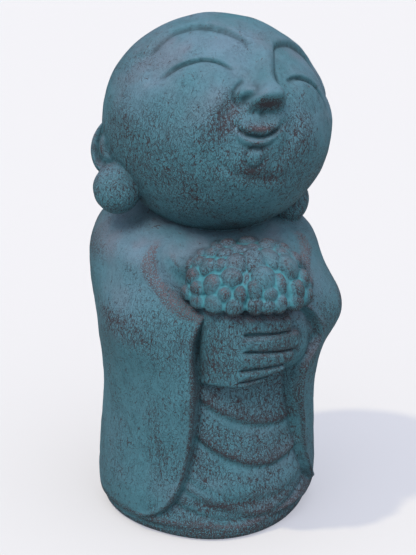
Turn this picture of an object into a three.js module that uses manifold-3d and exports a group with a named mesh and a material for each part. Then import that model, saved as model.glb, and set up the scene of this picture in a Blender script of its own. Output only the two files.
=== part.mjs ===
// Cast stone jizo statue: a round-headed figure in a robe, a bunch of fruit held in both hands.
// Millimetres. +Z up, the figure faces -Y, +X is the figure's own left.
// The whole figure is one casting and so one closed solid, standing on a flat underside at Z = 0.
// Turns about the upright axis are given in degrees from the front, positive to the figure's left.
import * as THREE from 'three';
import { mergeVertices } from 'three/addons/utils/BufferGeometryUtils.js';
import Module from 'manifold-3d';

const DEG = Math.PI / 180;

// ---- robe: height against distance from the upright axis, all round
const ROBE_GIRTH = [[0, 87], [12, 89.5], [60, 88], [100, 85.5], [150, 88], [205, 90.5], [240, 86]];
const ROBE_LEAN_BACK = [[0, 0], [170, 0], [215, 9], [240, 12]];
const SHOULDER_START_Z = 212;
const NECK_Z = 250;
const NECK_FALL_TO_FRONT = 13;
const SHOULDER_SQUARENESS = 2.6;
const WAIST_HOLLOW = { depth: 2.5, turn: 80, spread: 50, fade: [100, 140] };

// ---- foot: the low round disc the robe stands on
const FOOT_RADIUS = 86;
const FOOT_SWELL = 5;
const FOOT_SWELL_TURN = -14;
const FOOT_SWELL_SPREAD = 30;
const FOOT_HOLLOW = 4.5;
const FOOT_HOLLOW_TURN = 50;
const FOOT_TOP_RIGHT_Z = 11.5;
const FOOT_TOP_LEFT_Z = 13.5;
const FOOT_STEP = 2.5;
const FOOT_RIM_RADIUS = 5;
const FOOT_ROWS_Z = [8.5, 11, 13.5, 16];

// ---- sleeves: front edge of each hanging sleeve, height against turn from the front
const RIGHT_SLEEVE_EDGE = [[8, 70], [24, 49.5], [45, 39.5], [71, 34], [131, 28.4], [178, 27], [200, 20]];
const LEFT_SLEEVE_EDGE = [
  [8, 70], [24, 50], [48, 38], [88, 28], [121, 23], [139, 28], [155, 44], [177, 34], [200, 18],
];
const HEM_Z = 9;
const HEM_CORNER = 4;
const SLEEVE_EDGE_HALF_WIDTH = 2.4;
const SLEEVE_LIP = { height: 1.4, inset: 3, spread: 3, lowest: 12 };
const SLEEVE_GROOVE = { depth: 1, outset: 2.2, spread: 2, grow: [14, 30] };
const EDGE_REACH = 90 * DEG;

// ---- elbows and forearms
const ELBOW_Z = 166;
const ELBOW_TURN = 66;
const ELBOW_SPREAD_TURN = 22;
const ELBOW_SPREAD_UP = 30;
const ELBOW_SPREAD_DOWN = 24;
const LEFT_ELBOW = 17.5;
const RIGHT_ELBOW = 10;
const FOREARM_SWELL = { height: 8.5, turn: 30, spread: 20, grow: [60, 135], fade: [180, 225] };
const SLEEVE_SWELL = { height: 3, turn: 36, spread: 16, grow: [15, 40], fade: [80, 135] };

// ---- crook of the arms: turn from the front against the height of the forearm's crest
const FOREARM_CREST = [[0, 180], [24, 186], [42, 198.5], [50, 208], [55, 218], [59, 232], [70, 275]];
const CREST_REACH = 1.5;
const CROOK_WIDTH = 11;
const CROOK_TOP = [236, 250];
const CROOK_TOP_CLOSED = 0.6;
const CROOK_GROOVE = { depth: 3.5, above: 10, spread: 5, growTurn: [14, 30], fade: [230, 250] };
const CHEST_Z = 232;
const CHEST_FRONT = 60;
const CHEST_SLOPE = 0.3;
const CHEST_SIDE = 75;
const CHEST_ROUND_TURN = 55;

// ---- skirt between the sleeves, with its hanging folds
const SKIRT_GIRTH = [
  [0, 87], [12, 90], [16, 88.5], [40, 86.5], [70, 84.5], [100, 83], [140, 81], [190, 78],
];
const FOLDS = [
  { z: 99, rise: 0.031, turn: 10, depth: 1.5 },
  { z: 91, rise: 0.022, turn: 14, depth: 1.2 },
  { z: 57, rise: 0.0185, turn: 12, depth: 2 },
  { z: 26, rise: 0.0165, turn: 8, depth: 1.6 },
];
const FOLD_SOFTNESS = 2.5;
const FOLD_REACH_UP = 13;
const FOLD_REACH_DOWN = 6;
const HEM_GROOVE = { z: 14, rise: 0.0095, depth: 1.6, width: 3 };
const FOLD_SINK = 0.75;
const CUFF_FILL = { depth: 12, growTurn: [15, 30], z: 162, spread: 26 };

// ---- head: an egg tilted to the figure's left and looking up
const HEAD_CENTRE = new THREE.Vector3(6.65, -2, 313.25);
const HEAD_HALF_WIDTH = 88.2;
const HEAD_HALF_DEPTH = 86.9;
const HEAD_HALF_HEIGHT = 82.5;
const HEAD_SIDE = new THREE.Vector3(0.9623918, -0.07428503, -0.26131164);
const HEAD_FRONT = new THREE.Vector3(0.03177596, -0.92450446, 0.37984443);
const HEAD_UP = new THREE.Vector3(0.26980054, 0.3738626, 0.88737502);

// ---- face, in the head's own widths and heights
const BROW = [[4, 44.5], [15, 51], [24, 55.5], [37, 58], [49, 56], [60, 50.5], [75, 31]];
const SOCKET_SIDE = [[-4, 22], [4, 17], [10, 12.5], [18, 9.5], [28, 8], [50, 10]];
const SOCKET_CORNER = 5;
const SOCKET_DEPTH = 2.8;
const SOCKET_LIP = [-2.2, 0.8];
const SOCKET_RETURN = [4, 42];
const SOCKET_OUTER_END = [70, 80];
const SOCKET_LOWER_END = [2, 14];
const BROW_RIDGE = { height: 1.2, out: 2.5, spread: 3.2, grow: [18, 34] };
const NOSE_RIDGE = [[-4, 0], [-1.5, 9], [1, 14.5], [5, 16], [12, 12], [22, 7], [32, 4], [52, 0]];
const NOSE_WIDTH = [[-8, 9.9], [0, 9.9], [8, 7.8], [18, 5.5], [30, 4.7], [50, 7.8]];
const NOSE_SIDE = 0.6;
const NOSE_SQUARENESS = 2.2;
const NOSTRILS = { height: 5.5, side: 12, wide: 5, up: 4.5, tall: 5 };
const NOSTRIL_FOOT = [-4, 0];
const CHEEKS = { height: 3, side: 40, wide: 26, up: -14, tall: 26 };
const JAW = { height: 3.5, side: 6, wide: 42, up: -56, tall: 19 };
const BROW_BONE = { height: 1.6, side: 40, wide: 24, up: 38, tall: 9 };
const EYE_SWELL = { height: 1.5, side: 40, wide: 24, up: 16, tall: 9 };
const MUZZLE = { height: 3, side: 0, wide: 24, up: -20, tall: 13 };
const MOUTH = { side: 0, up: -23.5, curl: 0.026, tilt: 0.06, half: 14.5, corner: 3, depth: 3.2, spread: 2 };
const UPPER_LIP = { height: 2, side: 0, wide: 11, up: 5.5, tall: 3.6 };
const LOWER_LIP = { height: 2.4, side: 0, wide: 10, up: -4, tall: 3 };
const UNDER_LIP = { height: -1.6, side: 0, wide: 12, up: -8.5, tall: 2.6 };
const CHIN_BALL = { side: 1.5, up: -36.5, radius: 5.6, height: 1.3 };
const CHIN = { height: 2, spread: 13 };
const FACE_EDGE = [0.05, 0.35];

// ---- ears
const LOBE = { side: 70, front: -11, wide: 19, deep: 19, tall: 20.5 };
const RIGHT_LOBE_UP = -60.5;
const LEFT_LOBE_UP = -48;
const EAR = { side: 77.5, front: -15, above: 24.5, thick: 8, wide: 16, tall: 25, turn: 38.5, hollow: 0.5 };

// ---- bunch of fruit
const BUNCH_CENTRE = new THREE.Vector3(0.5, -70, 201);
const BUNCH_HALF_WIDTH = 51;
const BUNCH_HALF_DEPTH = 45;
const BUNCH_HEIGHT = 39;
const BUNCH_UNDERSIDE = 11;
const FRUIT_TIERS = [
  { up: 8, count: 14, wide: 0.25, tall: 0.29 },
  { up: 33, count: 11, wide: 0.25, tall: 0.25 },
  { up: 58, count: 7, wide: 0.26, tall: 0.24 },
  { up: 84, count: 2, wide: 0.28, tall: 0.28 },
];
const FRUIT_BED = 0.92;
const FRUIT_HEIGHT = 0.11;
const FRUIT_ROUNDING = 0.95;
const FRUIT_SINK = 1.15;
const FRUIT_STAGGER = 0.37;
const FRUIT_UNEVEN = { turn: 0.05, rise: 3, wide: 0.12, tall: 0.1 };

// ---- hands
const HAND_RADIUS = 102;
const HAND_REACH = HAND_RADIUS * DEG;
const HAND_ROOT_RADIUS = 72;
const HAND_BACK_RADIUS = 66;
const HAND_LEFT_TURN = -25.2;
const HAND_EDGE_ROUND = 9;
const HAND_SQUARENESS = 2.4;
const HAND_CROWN = {
  wrist: 95.5, swell: 6.5, grow: [-25, -8], middle: 3, z: 168, spread: 30, tips: 2, fade: [6, 22],
};
const KNUCKLES = [-10.5, -6.5];
const HAND_SPAN = [-28, 23.5];
const KNUCKLE_TURN = -8;
const FINGER_TURN_SPAN = 22;
const HAND_LOW_LINE = [[-28, 131.5], [-8, 131.5], [2, 133.5], [12, 138], [24, 143]];
const FINGER_GROOVES = [[140.4, 143.1], [150.4, 149.3], [165.6, 160], [178.6, 175]];
const FINGER_ENDS = [9.6, 15, 20, 22.2, 18.4];
const GROOVE_DEPTH = 4;
const GROOVE_ABOVE = 1.2;
const GROOVE_BELOW = 3.6;
const HAND_TOP_Z = 198.5;
const HAND_TOP_FALL = 0.3;
const LEFT_HAND = { turn: 24, out: 80, z: 163, wide: 20, deep: 22, tall: 27 };

// ---- counts of facets, and how much closer the robe's rows are toward the shoulders
const ROW_BIAS = 1.2;
const ROW_LIFT = {
  turn: 10, rise: 0.019, reach: 42, fade: 30, end: 78, low: 16, lowFull: 52, highFull: 92, high: 168,
};
const COLUMN_EVEN = 0.42;
const SKIRT_COLUMN_SPREAD = 1.15;
const FACE_CLOSENESS = 0.5;
const FACETS = {
  skirt: 13, sleeve: 18, rim: 2, robe: 29, shoulder: 5,
  headRound: 44, headRings: 26, ear: 14, earUp: 9,
  bedRound: 24, bedUp: 5, fruitRound: 6, fruitUp: 4, handAcross: 15,
};

/** Smooth step from 0 below low to 1 above high. */
function ease(low, high, x) {
  const t = Math.min(1, Math.max(0, (x - low) / (high - low)));
  return t * t * (3 - 2 * t);
}

/** Bell of height 1 at x = 0 that has fallen to 1/e at x = spread. */
function bell(x, spread) {
  return Math.exp(-((x / spread) ** 2));
}

/** Smooth step from 0 to 1 across a [low, high] range. */
function grow(range, x) {
  return ease(range[0], range[1], x);
}

/** Smooth step from 1 to 0 across a [low, high] range. */
function fade(range, x) {
  return 1 - ease(range[0], range[1], x);
}

/** Smooth curve through a short list of [x, y] knots, level beyond its ends. */
function along(knots, x) {
  const last = knots.length - 1;
  const at = Math.min(knots[last][0], Math.max(knots[0][0], x));
  let i = 0;
  while (i < last - 1 && at >= knots[i + 1][0]) {
    i += 1;
  }
  const slope = (j) => {
    if (j === 0 || j === last) {
      const k = j === 0 ? 0 : last - 1;
      return (knots[k + 1][1] - knots[k][1]) / (knots[k + 1][0] - knots[k][0]);
    }
    const before = knots[j][0] - knots[j - 1][0];
    const after = knots[j + 1][0] - knots[j][0];
    const rise = (knots[j + 1][1] - knots[j][1]) / after;
    const fall = (knots[j][1] - knots[j - 1][1]) / before;
    return (before * rise + after * fall) / (before + after);
  };
  const span = knots[i + 1][0] - knots[i][0];
  const t = (at - knots[i][0]) / span;
  const t2 = t * t;
  const t3 = t2 * t;
  return (2 * t3 - 3 * t2 + 1) * knots[i][1]
    + (t3 - 2 * t2 + t) * span * slope(i)
    + (3 * t2 - 2 * t3) * knots[i + 1][1]
    + (t3 - t2) * span * slope(i + 1);
}

/** Smaller of two distances with the corner between them rounded off by size. */
function roundedMin(a, b, size) {
  const h = Math.min(1, Math.max(0, 0.5 + (0.5 * (a - b)) / size));
  return a * (1 - h) + b * h - size * h * (1 - h);
}

/** One hanging fold of the skirt: proud above its line, sunk below it. */
function foldStep(turn, z, fold) {
  const above = z - (fold.z + fold.rise * (turn - fold.turn) ** 2);
  const side = 0.5 * (1 + Math.tanh(above / FOLD_SOFTNESS));
  const proud = side * Math.exp(-Math.max(above, 0) / FOLD_REACH_UP);
  const sunk = FOLD_SINK * (1 - side) * Math.exp(-Math.max(-above, 0) / FOLD_REACH_DOWN);
  return fold.depth * (proud - sunk);
}

/** Distance of the skirt from the axis. */
function skirtRadius(turn, z) {
  let r = along(SKIRT_GIRTH, z);
  for (const fold of FOLDS) {
    r += foldStep(turn, z, fold);
  }
  r += CUFF_FILL.depth * grow(CUFF_FILL.growTurn, turn) * bell(z - CUFF_FILL.z, CUFF_FILL.spread);
  const groove = z - (HEM_GROOVE.z + HEM_GROOVE.rise * turn * turn);
  return r - HEM_GROOVE.depth * bell(groove, HEM_GROOVE.width);
}

/** Distance in mm from a sleeve's front edge, positive on the sleeve. */
function sleeveDistance(turn, z) {
  const edge = turn < 0 ? RIGHT_SLEEVE_EDGE : LEFT_SLEEVE_EDGE;
  const lean = along(edge, z + 0.5) - along(edge, z - 0.5);
  const across = ((Math.abs(turn) - along(edge, z)) * EDGE_REACH) / Math.hypot(1, EDGE_REACH * lean);
  return roundedMin(across, z - HEM_Z, HEM_CORNER);
}

/** Distance of the sleeves, back and shoulders from the axis. */
function sleeveRadius(turn, z) {
  const side = Math.abs(turn);
  let r = along(ROBE_GIRTH, z) - along(ROBE_LEAN_BACK, z) * Math.cos(turn * DEG);
  const spread = z > ELBOW_Z ? ELBOW_SPREAD_UP : ELBOW_SPREAD_DOWN;
  const elbow = turn > 0 ? LEFT_ELBOW : RIGHT_ELBOW;
  r += elbow * bell(side - ELBOW_TURN, ELBOW_SPREAD_TURN) * bell(z - ELBOW_Z, spread);
  const waist = bell(turn - WAIST_HOLLOW.turn, WAIST_HOLLOW.spread);
  r -= WAIST_HOLLOW.depth * waist * fade(WAIST_HOLLOW.fade, z);
  for (const swell of [FOREARM_SWELL, SLEEVE_SWELL]) {
    r += swell.height * bell(side - swell.turn, swell.spread) * grow(swell.grow, z) * fade(swell.fade, z);
  }
  return r;
}

/** Distance of the chest from the axis, above the forearms. */
function chestRadius(turn, z) {
  const front = CHEST_FRONT + CHEST_SLOPE * (CHEST_Z - z);
  return front + (CHEST_SIDE - front) * ease(0, CHEST_ROUND_TURN, Math.abs(turn));
}

/** Distance of the low foot disc from the axis. */
function footRadius(turn) {
  return FOOT_RADIUS + FOOT_SWELL * bell(turn - FOOT_SWELL_TURN, FOOT_SWELL_SPREAD)
    - FOOT_HOLLOW * bell(turn - FOOT_HOLLOW_TURN, FOOT_SWELL_SPREAD);
}

/** Distance of the whole robe from the axis: skirt, sleeves, crook, chest and foot together. */
function robeRadius(turn, z) {
  const side = Math.abs(turn);
  const d = sleeveDistance(turn, z);
  const sleeve = sleeveRadius(turn, z);
  const lipHeight = z > SLEEVE_LIP.lowest ? SLEEVE_LIP.height : 0;
  const lip = lipHeight * bell(d - SLEEVE_LIP.inset, SLEEVE_LIP.spread);
  const skirt = skirtRadius(turn, z);
  let r = skirt + (sleeve + lip - skirt) * ease(-SLEEVE_EDGE_HALF_WIDTH, SLEEVE_EDGE_HALF_WIDTH, d);
  const groove = bell(d + SLEEVE_GROOVE.outset, SLEEVE_GROOVE.spread);
  r -= SLEEVE_GROOVE.depth * groove * grow(SLEEVE_GROOVE.grow, z);
  const lean = (along(FOREARM_CREST, side + 1) - along(FOREARM_CREST, side - 1)) / 2 / CREST_REACH;
  const above = (z - along(FOREARM_CREST, side)) / Math.hypot(1, lean);
  const behind = ease(0, CROOK_WIDTH, above) * (1 - CROOK_TOP_CLOSED * grow(CROOK_TOP, z));
  r += (Math.min(chestRadius(turn, z), sleeve) - r) * behind;
  r -= CROOK_GROOVE.depth * bell(above - CROOK_GROOVE.above, CROOK_GROOVE.spread)
    * grow(CROOK_GROOVE.growTurn, side) * fade(CROOK_GROOVE.fade, z);
  const footTop = turn > 0 ? FOOT_TOP_LEFT_Z : FOOT_TOP_RIGHT_Z;
  const low = 1 - ease(footTop - FOOT_STEP, footTop + FOOT_STEP, z);
  return r + (footRadius(turn) - r) * low;
}

/** Turn of one line of robe facets at a height; the lines follow both sleeve edges. */
function columnTurn(column, z) {
  const outward = (edge, i) => {
    const u = i / FACETS.sleeve;
    return edge + (180 - edge) * (COLUMN_EVEN * u + (1 - COLUMN_EVEN) * u * u);
  };
  if (column <= FACETS.skirt) {
    const t = (2 * column) / FACETS.skirt - 1;
    const s = SKIRT_COLUMN_SPREAD * t - (SKIRT_COLUMN_SPREAD - 1) * t ** 3;
    return s * along(s < 0 ? RIGHT_SLEEVE_EDGE : LEFT_SLEEVE_EDGE, z);
  }
  const past = column - FACETS.skirt;
  if (past <= FACETS.sleeve) {
    return outward(along(LEFT_SLEEVE_EDGE, z), past);
  }
  return -outward(along(RIGHT_SLEEVE_EDGE, z), 2 * FACETS.sleeve - past);
}

/** How far a row of facets is lifted at a turn so that it runs along the hanging folds. */
function rowLift(turn, z) {
  const hung = ease(ROW_LIFT.low, ROW_LIFT.lowFull, z) * (1 - ease(ROW_LIFT.highFull, ROW_LIFT.high, z));
  const away = Math.abs(turn - ROW_LIFT.turn);
  const near = 1 - ease(ROW_LIFT.fade, ROW_LIFT.end, away);
  return ROW_LIFT.rise * hung * Math.min(away, ROW_LIFT.reach) ** 2 * near;
}

/** One ring of the robe about a height, drawn in by inset. */
function robeRing(z, inset = 0) {
  return Array.from({ length: FACETS.skirt + 2 * FACETS.sleeve }, (_, column) => {
    let height = z;
    let turn = 0;
    for (let pass = 0; pass < 4; pass += 1) {
      turn = columnTurn(column, height);
      height = z + rowLift(turn, z);
    }
    return roundPoint(turn, robeRadius(turn, height) - inset, height);
  });
}

/** Point on the round of the body. */
function roundPoint(turn, radius, z) {
  return new THREE.Vector3(radius * Math.sin(turn * DEG), -radius * Math.cos(turn * DEG), z);
}

/** Closed surface from rings of points; the first and last rings are single points. */
function ringSurface(first, rings, last) {
  const positions = [...first.toArray()];
  for (const ring of rings) {
    for (const point of ring) {
      positions.push(...point.toArray());
    }
  }
  positions.push(...last.toArray());
  const across = rings[0].length;
  const end = positions.length / 3 - 1;
  const at = (i, j) => 1 + i * across + (j % across);
  const index = [];
  for (let j = 0; j < across; j += 1) {
    index.push(0, at(0, j + 1), at(0, j));
    for (let i = 0; i < rings.length - 1; i += 1) {
      index.push(at(i, j), at(i, j + 1), at(i + 1, j + 1));
      index.push(at(i, j), at(i + 1, j + 1), at(i + 1, j));
    }
    index.push(end, at(rings.length - 1, j), at(rings.length - 1, j + 1));
  }
  const geometry = new THREE.BufferGeometry();
  geometry.setAttribute('position', new THREE.Float32BufferAttribute(positions, 3));
  geometry.setIndex(index);
  return geometry;
}

/** The robe from its flat underside to the top of the neck. */
function robe() {
  const rings = [];
  for (let i = 0; i <= FACETS.rim; i += 1) {
    const angle = (i / FACETS.rim) * 90 * DEG;
    const z = FOOT_RIM_RADIUS * (1 - Math.cos(angle));
    const inset = FOOT_RIM_RADIUS * (1 - Math.sin(angle));
    rings.push(robeRing(z, inset));
  }
  for (const z of FOOT_ROWS_Z) {
    rings.push(robeRing(z));
  }
  const startZ = FOOT_ROWS_Z[FOOT_ROWS_Z.length - 1];
  for (let i = 1; i <= FACETS.robe; i += 1) {
    const u = i / FACETS.robe;
    const up = ROW_BIAS * u - (ROW_BIAS - 1) * u * u;
    rings.push(robeRing(startZ + (SHOULDER_START_Z - startZ) * up));
  }
  const lastRing = rings[rings.length - 1];
  const turns = lastRing.map((point) => Math.atan2(point.x, -point.y) / DEG);
  const neckZ = (turn) => NECK_Z - NECK_FALL_TO_FRONT * Math.cos(turn * DEG);
  for (let i = 1; i < FACETS.shoulder; i += 1) {
    const angle = (i / FACETS.shoulder) * 90 * DEG;
    const rise = Math.sin(angle) ** (2 / SHOULDER_SQUARENESS);
    const close = Math.cos(angle) ** (2 / SHOULDER_SQUARENESS);
    rings.push(turns.map((turn) => {
      const z = SHOULDER_START_Z + (neckZ(turn) - SHOULDER_START_Z) * rise;
      return roundPoint(turn, robeRadius(turn, z) * close, z);
    }));
  }
  return ringSurface(new THREE.Vector3(0, 0, 0), rings, new THREE.Vector3(0, 0, NECK_Z));
}

/** Height of one rounded swelling of the face at side, up. */
function swelling(shape, side, up) {
  return shape.height * bell(side - shape.side, shape.wide) * bell(up - shape.up, shape.tall);
}

/** Brow line and the sunken eye socket below it. */
function socketRelief(apart, up) {
  const lean = (along(BROW, apart + 0.5) - along(BROW, apart - 0.5));
  const underBrow = (along(BROW, apart) - up) / Math.hypot(1, lean);
  const inSocket = roundedMin(underBrow, apart - along(SOCKET_SIDE, up), SOCKET_CORNER);
  const reach = fade(SOCKET_OUTER_END, apart) * grow(SOCKET_LOWER_END, up);
  const sunk = SOCKET_DEPTH * grow(SOCKET_LIP, inSocket) * fade(SOCKET_RETURN, underBrow);
  const ridgeTop = bell(inSocket + BROW_RIDGE.out, BROW_RIDGE.spread) * grow(BROW_RIDGE.grow, up);
  const ridge = BROW_RIDGE.height * ridgeTop;
  return (ridge - sunk) * reach;
}

/** Nose ridge with its nostrils' wings. */
function noseRelief(side, up) {
  const off = Math.abs((side - NOSE_SIDE) / along(NOSE_WIDTH, up));
  const ridge = along(NOSE_RIDGE, up) * Math.exp(-(off ** NOSE_SQUARENESS));
  return ridge + swelling(NOSTRILS, Math.abs(side), up) * grow(NOSTRIL_FOOT, up);
}

/** Smiling mouth, its lips and the small ball of the chin. */
function mouthRelief(side, up) {
  const across = side - MOUTH.side;
  const lip = up - (MOUTH.up + MOUTH.curl * across * across + MOUTH.tilt * across);
  const within = 1 - ease(MOUTH.half - MOUTH.corner, MOUTH.half + MOUTH.corner, Math.abs(across));
  const ball = Math.hypot(side - CHIN_BALL.side, up - CHIN_BALL.up);
  return swelling(UPPER_LIP, across, lip)
    + swelling(LOWER_LIP, across, lip) * within
    + swelling(UNDER_LIP, across, lip)
    - MOUTH.depth * bell(lip, MOUTH.spread) * within
    + CHIN_BALL.height * Math.sqrt(Math.max(0, 1 - (ball / CHIN_BALL.radius) ** 2))
    + CHIN.height * bell(ball, CHIN.spread);
}

/** Height of the face's carving above the plain egg at side, up (mm in the head's own axes). */
function faceRelief(side, up) {
  const apart = Math.abs(side);
  const paired = [CHEEKS, BROW_BONE, EYE_SWELL];
  const swellings = paired.reduce((sum, shape) => sum + swelling(shape, apart, up), 0);
  return swellings + swelling(JAW, side, up) + swelling(MUZZLE, side, up)
    + socketRelief(apart, up) + noseRelief(side, up) + mouthRelief(side, up);
}

/** Point given in the head's own axes from the head's centre. */
function headPoint(side, front, up) {
  return HEAD_CENTRE.clone()
    .addScaledVector(HEAD_SIDE, side)
    .addScaledVector(HEAD_FRONT, front)
    .addScaledVector(HEAD_UP, up);
}

/** The head with its carved face: rings about the nose, closer together on the face. */
function head() {
  const surfacePoint = (away, round) => {
    const x = Math.sin(away) * Math.sin(round);
    const y = Math.cos(away);
    const z = Math.sin(away) * Math.cos(round);
    const eggRadius = 1 / Math.hypot(x / HEAD_HALF_WIDTH, y / HEAD_HALF_DEPTH, z / HEAD_HALF_HEIGHT);
    const r = eggRadius + faceRelief(x * eggRadius, z * eggRadius) * grow(FACE_EDGE, y);
    return headPoint(x * r, y * r, z * r);
  };
  const rings = [];
  for (let i = 1; i < FACETS.headRings; i += 1) {
    const u = i / FACETS.headRings;
    const away = Math.PI * (FACE_CLOSENESS * u + (1 - FACE_CLOSENESS) * u ** 3);
    const ring = [];
    for (let j = 0; j < FACETS.headRound; j += 1) {
      ring.push(surfacePoint(away, (j * 2 * Math.PI) / FACETS.headRound));
    }
    rings.push(ring);
  }
  return ringSurface(surfacePoint(0, 0), rings, surfacePoint(Math.PI, 0));
}

/** Closed egg about a centre, of across by upward facets; thin(x, y, z) may hollow its first axis. */
function egg(centre, axes, sizes, across, upward, thin = () => 1) {
  const point = (azimuth, elevation) => {
    const x = Math.cos(elevation) * Math.sin(azimuth);
    const y = Math.cos(elevation) * Math.cos(azimuth);
    const z = Math.sin(elevation);
    return centre.clone()
      .addScaledVector(axes[0], x * thin(x, y, z) * sizes[0])
      .addScaledVector(axes[1], y * sizes[1])
      .addScaledVector(axes[2], z * sizes[2]);
  };
  const handed = axes[0].clone().cross(axes[1]).dot(axes[2]) > 0 ? -1 : 1;
  const rings = [];
  for (let i = 1; i < upward; i += 1) {
    const elevation = (i / upward - 0.5) * Math.PI;
    const ring = [];
    for (let j = 0; j < across; j += 1) {
      ring.push(point((handed * j * 2 * Math.PI) / across, elevation));
    }
    rings.push(ring);
  }
  return ringSurface(point(0, -Math.PI / 2), rings, point(0, Math.PI / 2));
}

/** Ear plate and heavy round lobe on one side of the head, side = -1 right or 1 left. */
function ear(side) {
  const lobeUp = side < 0 ? RIGHT_LOBE_UP : LEFT_LOBE_UP;
  const lobe = egg(
    headPoint(side * LOBE.side, LOBE.front, lobeUp),
    [HEAD_SIDE, HEAD_FRONT, HEAD_UP],
    [LOBE.wide, LOBE.deep, LOBE.tall],
    FACETS.ear,
    FACETS.earUp,
  );
  const faceOut = HEAD_SIDE.clone().multiplyScalar(side * Math.sin(EAR.turn * DEG))
    .addScaledVector(HEAD_FRONT, Math.cos(EAR.turn * DEG));
  const backOut = HEAD_SIDE.clone().multiplyScalar(side * Math.cos(EAR.turn * DEG))
    .addScaledVector(HEAD_FRONT, -Math.sin(EAR.turn * DEG));
  const plate = egg(
    headPoint(side * EAR.side, EAR.front, lobeUp + EAR.above),
    [faceOut, backOut, HEAD_UP],
    [EAR.thick, EAR.wide, EAR.tall],
    FACETS.ear,
    FACETS.earUp,
    (x, y, z) => 1 - EAR.hollow * bell(Math.hypot(0.9 * y, 0.75 * z), 0.5) * ease(0.2, 0.9, x),
  );
  return [lobe, plate];
}

/** Point on the bunch's dome, scaled out by reach; below its rim the dome is shallow. */
function bunchPoint(azimuth, elevation, reach) {
  const height = elevation < 0 ? BUNCH_UNDERSIDE : BUNCH_HEIGHT;
  return BUNCH_CENTRE.clone().add(new THREE.Vector3(
    reach * Math.cos(elevation) * Math.sin(azimuth) * BUNCH_HALF_WIDTH,
    -reach * Math.cos(elevation) * Math.cos(azimuth) * BUNCH_HALF_DEPTH,
    reach * Math.sin(elevation) * height,
  ));
}

/** The domed bunch: a low bed with rounded fruits standing out of it in rising tiers. */
function bunch() {
  const rings = [];
  for (let i = 1 - FACETS.bedUp / 2; i < FACETS.bedUp; i += 1) {
    const elevation = (90 * DEG * i) / FACETS.bedUp;
    const ring = [];
    for (let j = 0; j < FACETS.bedRound; j += 1) {
      ring.push(bunchPoint((j * 2 * Math.PI) / FACETS.bedRound, elevation, FRUIT_BED));
    }
    rings.push(ring);
  }
  const bed = ringSurface(bunchPoint(0, -90 * DEG, FRUIT_BED), rings, bunchPoint(0, 90 * DEG, FRUIT_BED));
  const fruits = FRUIT_TIERS.flatMap((tier, row) => Array.from({ length: tier.count }, (_, i) => {
    const wobble = Math.sin(7.3 * i + 2.1 * row);
    const azimuth = ((i + FRUIT_STAGGER * row) / tier.count) * 2 * Math.PI + FRUIT_UNEVEN.turn * wobble;
    const elevation = (tier.up + FRUIT_UNEVEN.rise * Math.sin(4.1 * i + row)) * DEG;
    const centre = bunchPoint(azimuth, elevation, FRUIT_BED);
    const tip = bunchPoint(azimuth, elevation, FRUIT_BED + FRUIT_HEIGHT);
    const out = tip.clone().sub(centre);
    const across = new THREE.Vector3(Math.cos(azimuth), Math.sin(azimuth), 0);
    const up = across.clone().cross(out.clone().normalize()).negate();
    const wide = tier.wide * (1 + FRUIT_UNEVEN.wide * wobble) * FRUIT_ROUNDING * BUNCH_HALF_WIDTH;
    const tall = tier.tall * (1 - FRUIT_UNEVEN.tall * wobble) * FRUIT_ROUNDING * BUNCH_HEIGHT;
    return egg(centre, [across, out, up], [wide, FRUIT_SINK, tall], FACETS.fruitRound, FACETS.fruitUp);
  }));
  return [bed, ...fruits];
}

/** Height of a line across the fingers, given at the knuckles and at their far end. */
function fingerLine(ends, turn) {
  return ends[0] + ((turn - KNUCKLE_TURN) / FINGER_TURN_SPAN) * (ends[1] - ends[0]);
}

/** Height of the hand's upper edge. */
function handTop(turn) {
  return HAND_TOP_Z - HAND_TOP_FALL * Math.max(turn + 12, 0);
}

/** Distance of the right hand from the axis. */
function handRadius(turn, z) {
  const finger = FINGER_GROOVES.filter((ends) => z > fingerLine(ends, turn)).length;
  const inside = Math.min(
    handTop(turn) - z,
    z - along(HAND_LOW_LINE, turn),
    (turn - HAND_LEFT_TURN) * HAND_REACH,
    (FINGER_ENDS[finger] - turn) * HAND_REACH,
  );
  if (inside <= 0) {
    return HAND_ROOT_RADIUS;
  }
  const rounding = Math.min(1, inside / HAND_EDGE_ROUND);
  const rise = Math.sqrt(1 - (1 - rounding) ** HAND_SQUARENESS);
  const crown = HAND_CROWN.wrist + HAND_CROWN.swell * grow(HAND_CROWN.grow, turn)
    + HAND_CROWN.middle * bell(z - HAND_CROWN.z, HAND_CROWN.spread)
    - HAND_CROWN.tips * grow(HAND_CROWN.fade, turn);
  let r = HAND_ROOT_RADIUS + (crown - HAND_ROOT_RADIUS) * rise;
  for (const ends of FINGER_GROOVES) {
    const above = z - fingerLine(ends, turn);
    const cut = above > 0 ? 1 - above / GROOVE_ABOVE : 1 + above / GROOVE_BELOW;
    r -= GROOVE_DEPTH * Math.max(0, cut) * grow(KNUCKLES, turn);
  }
  return r;
}

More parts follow.
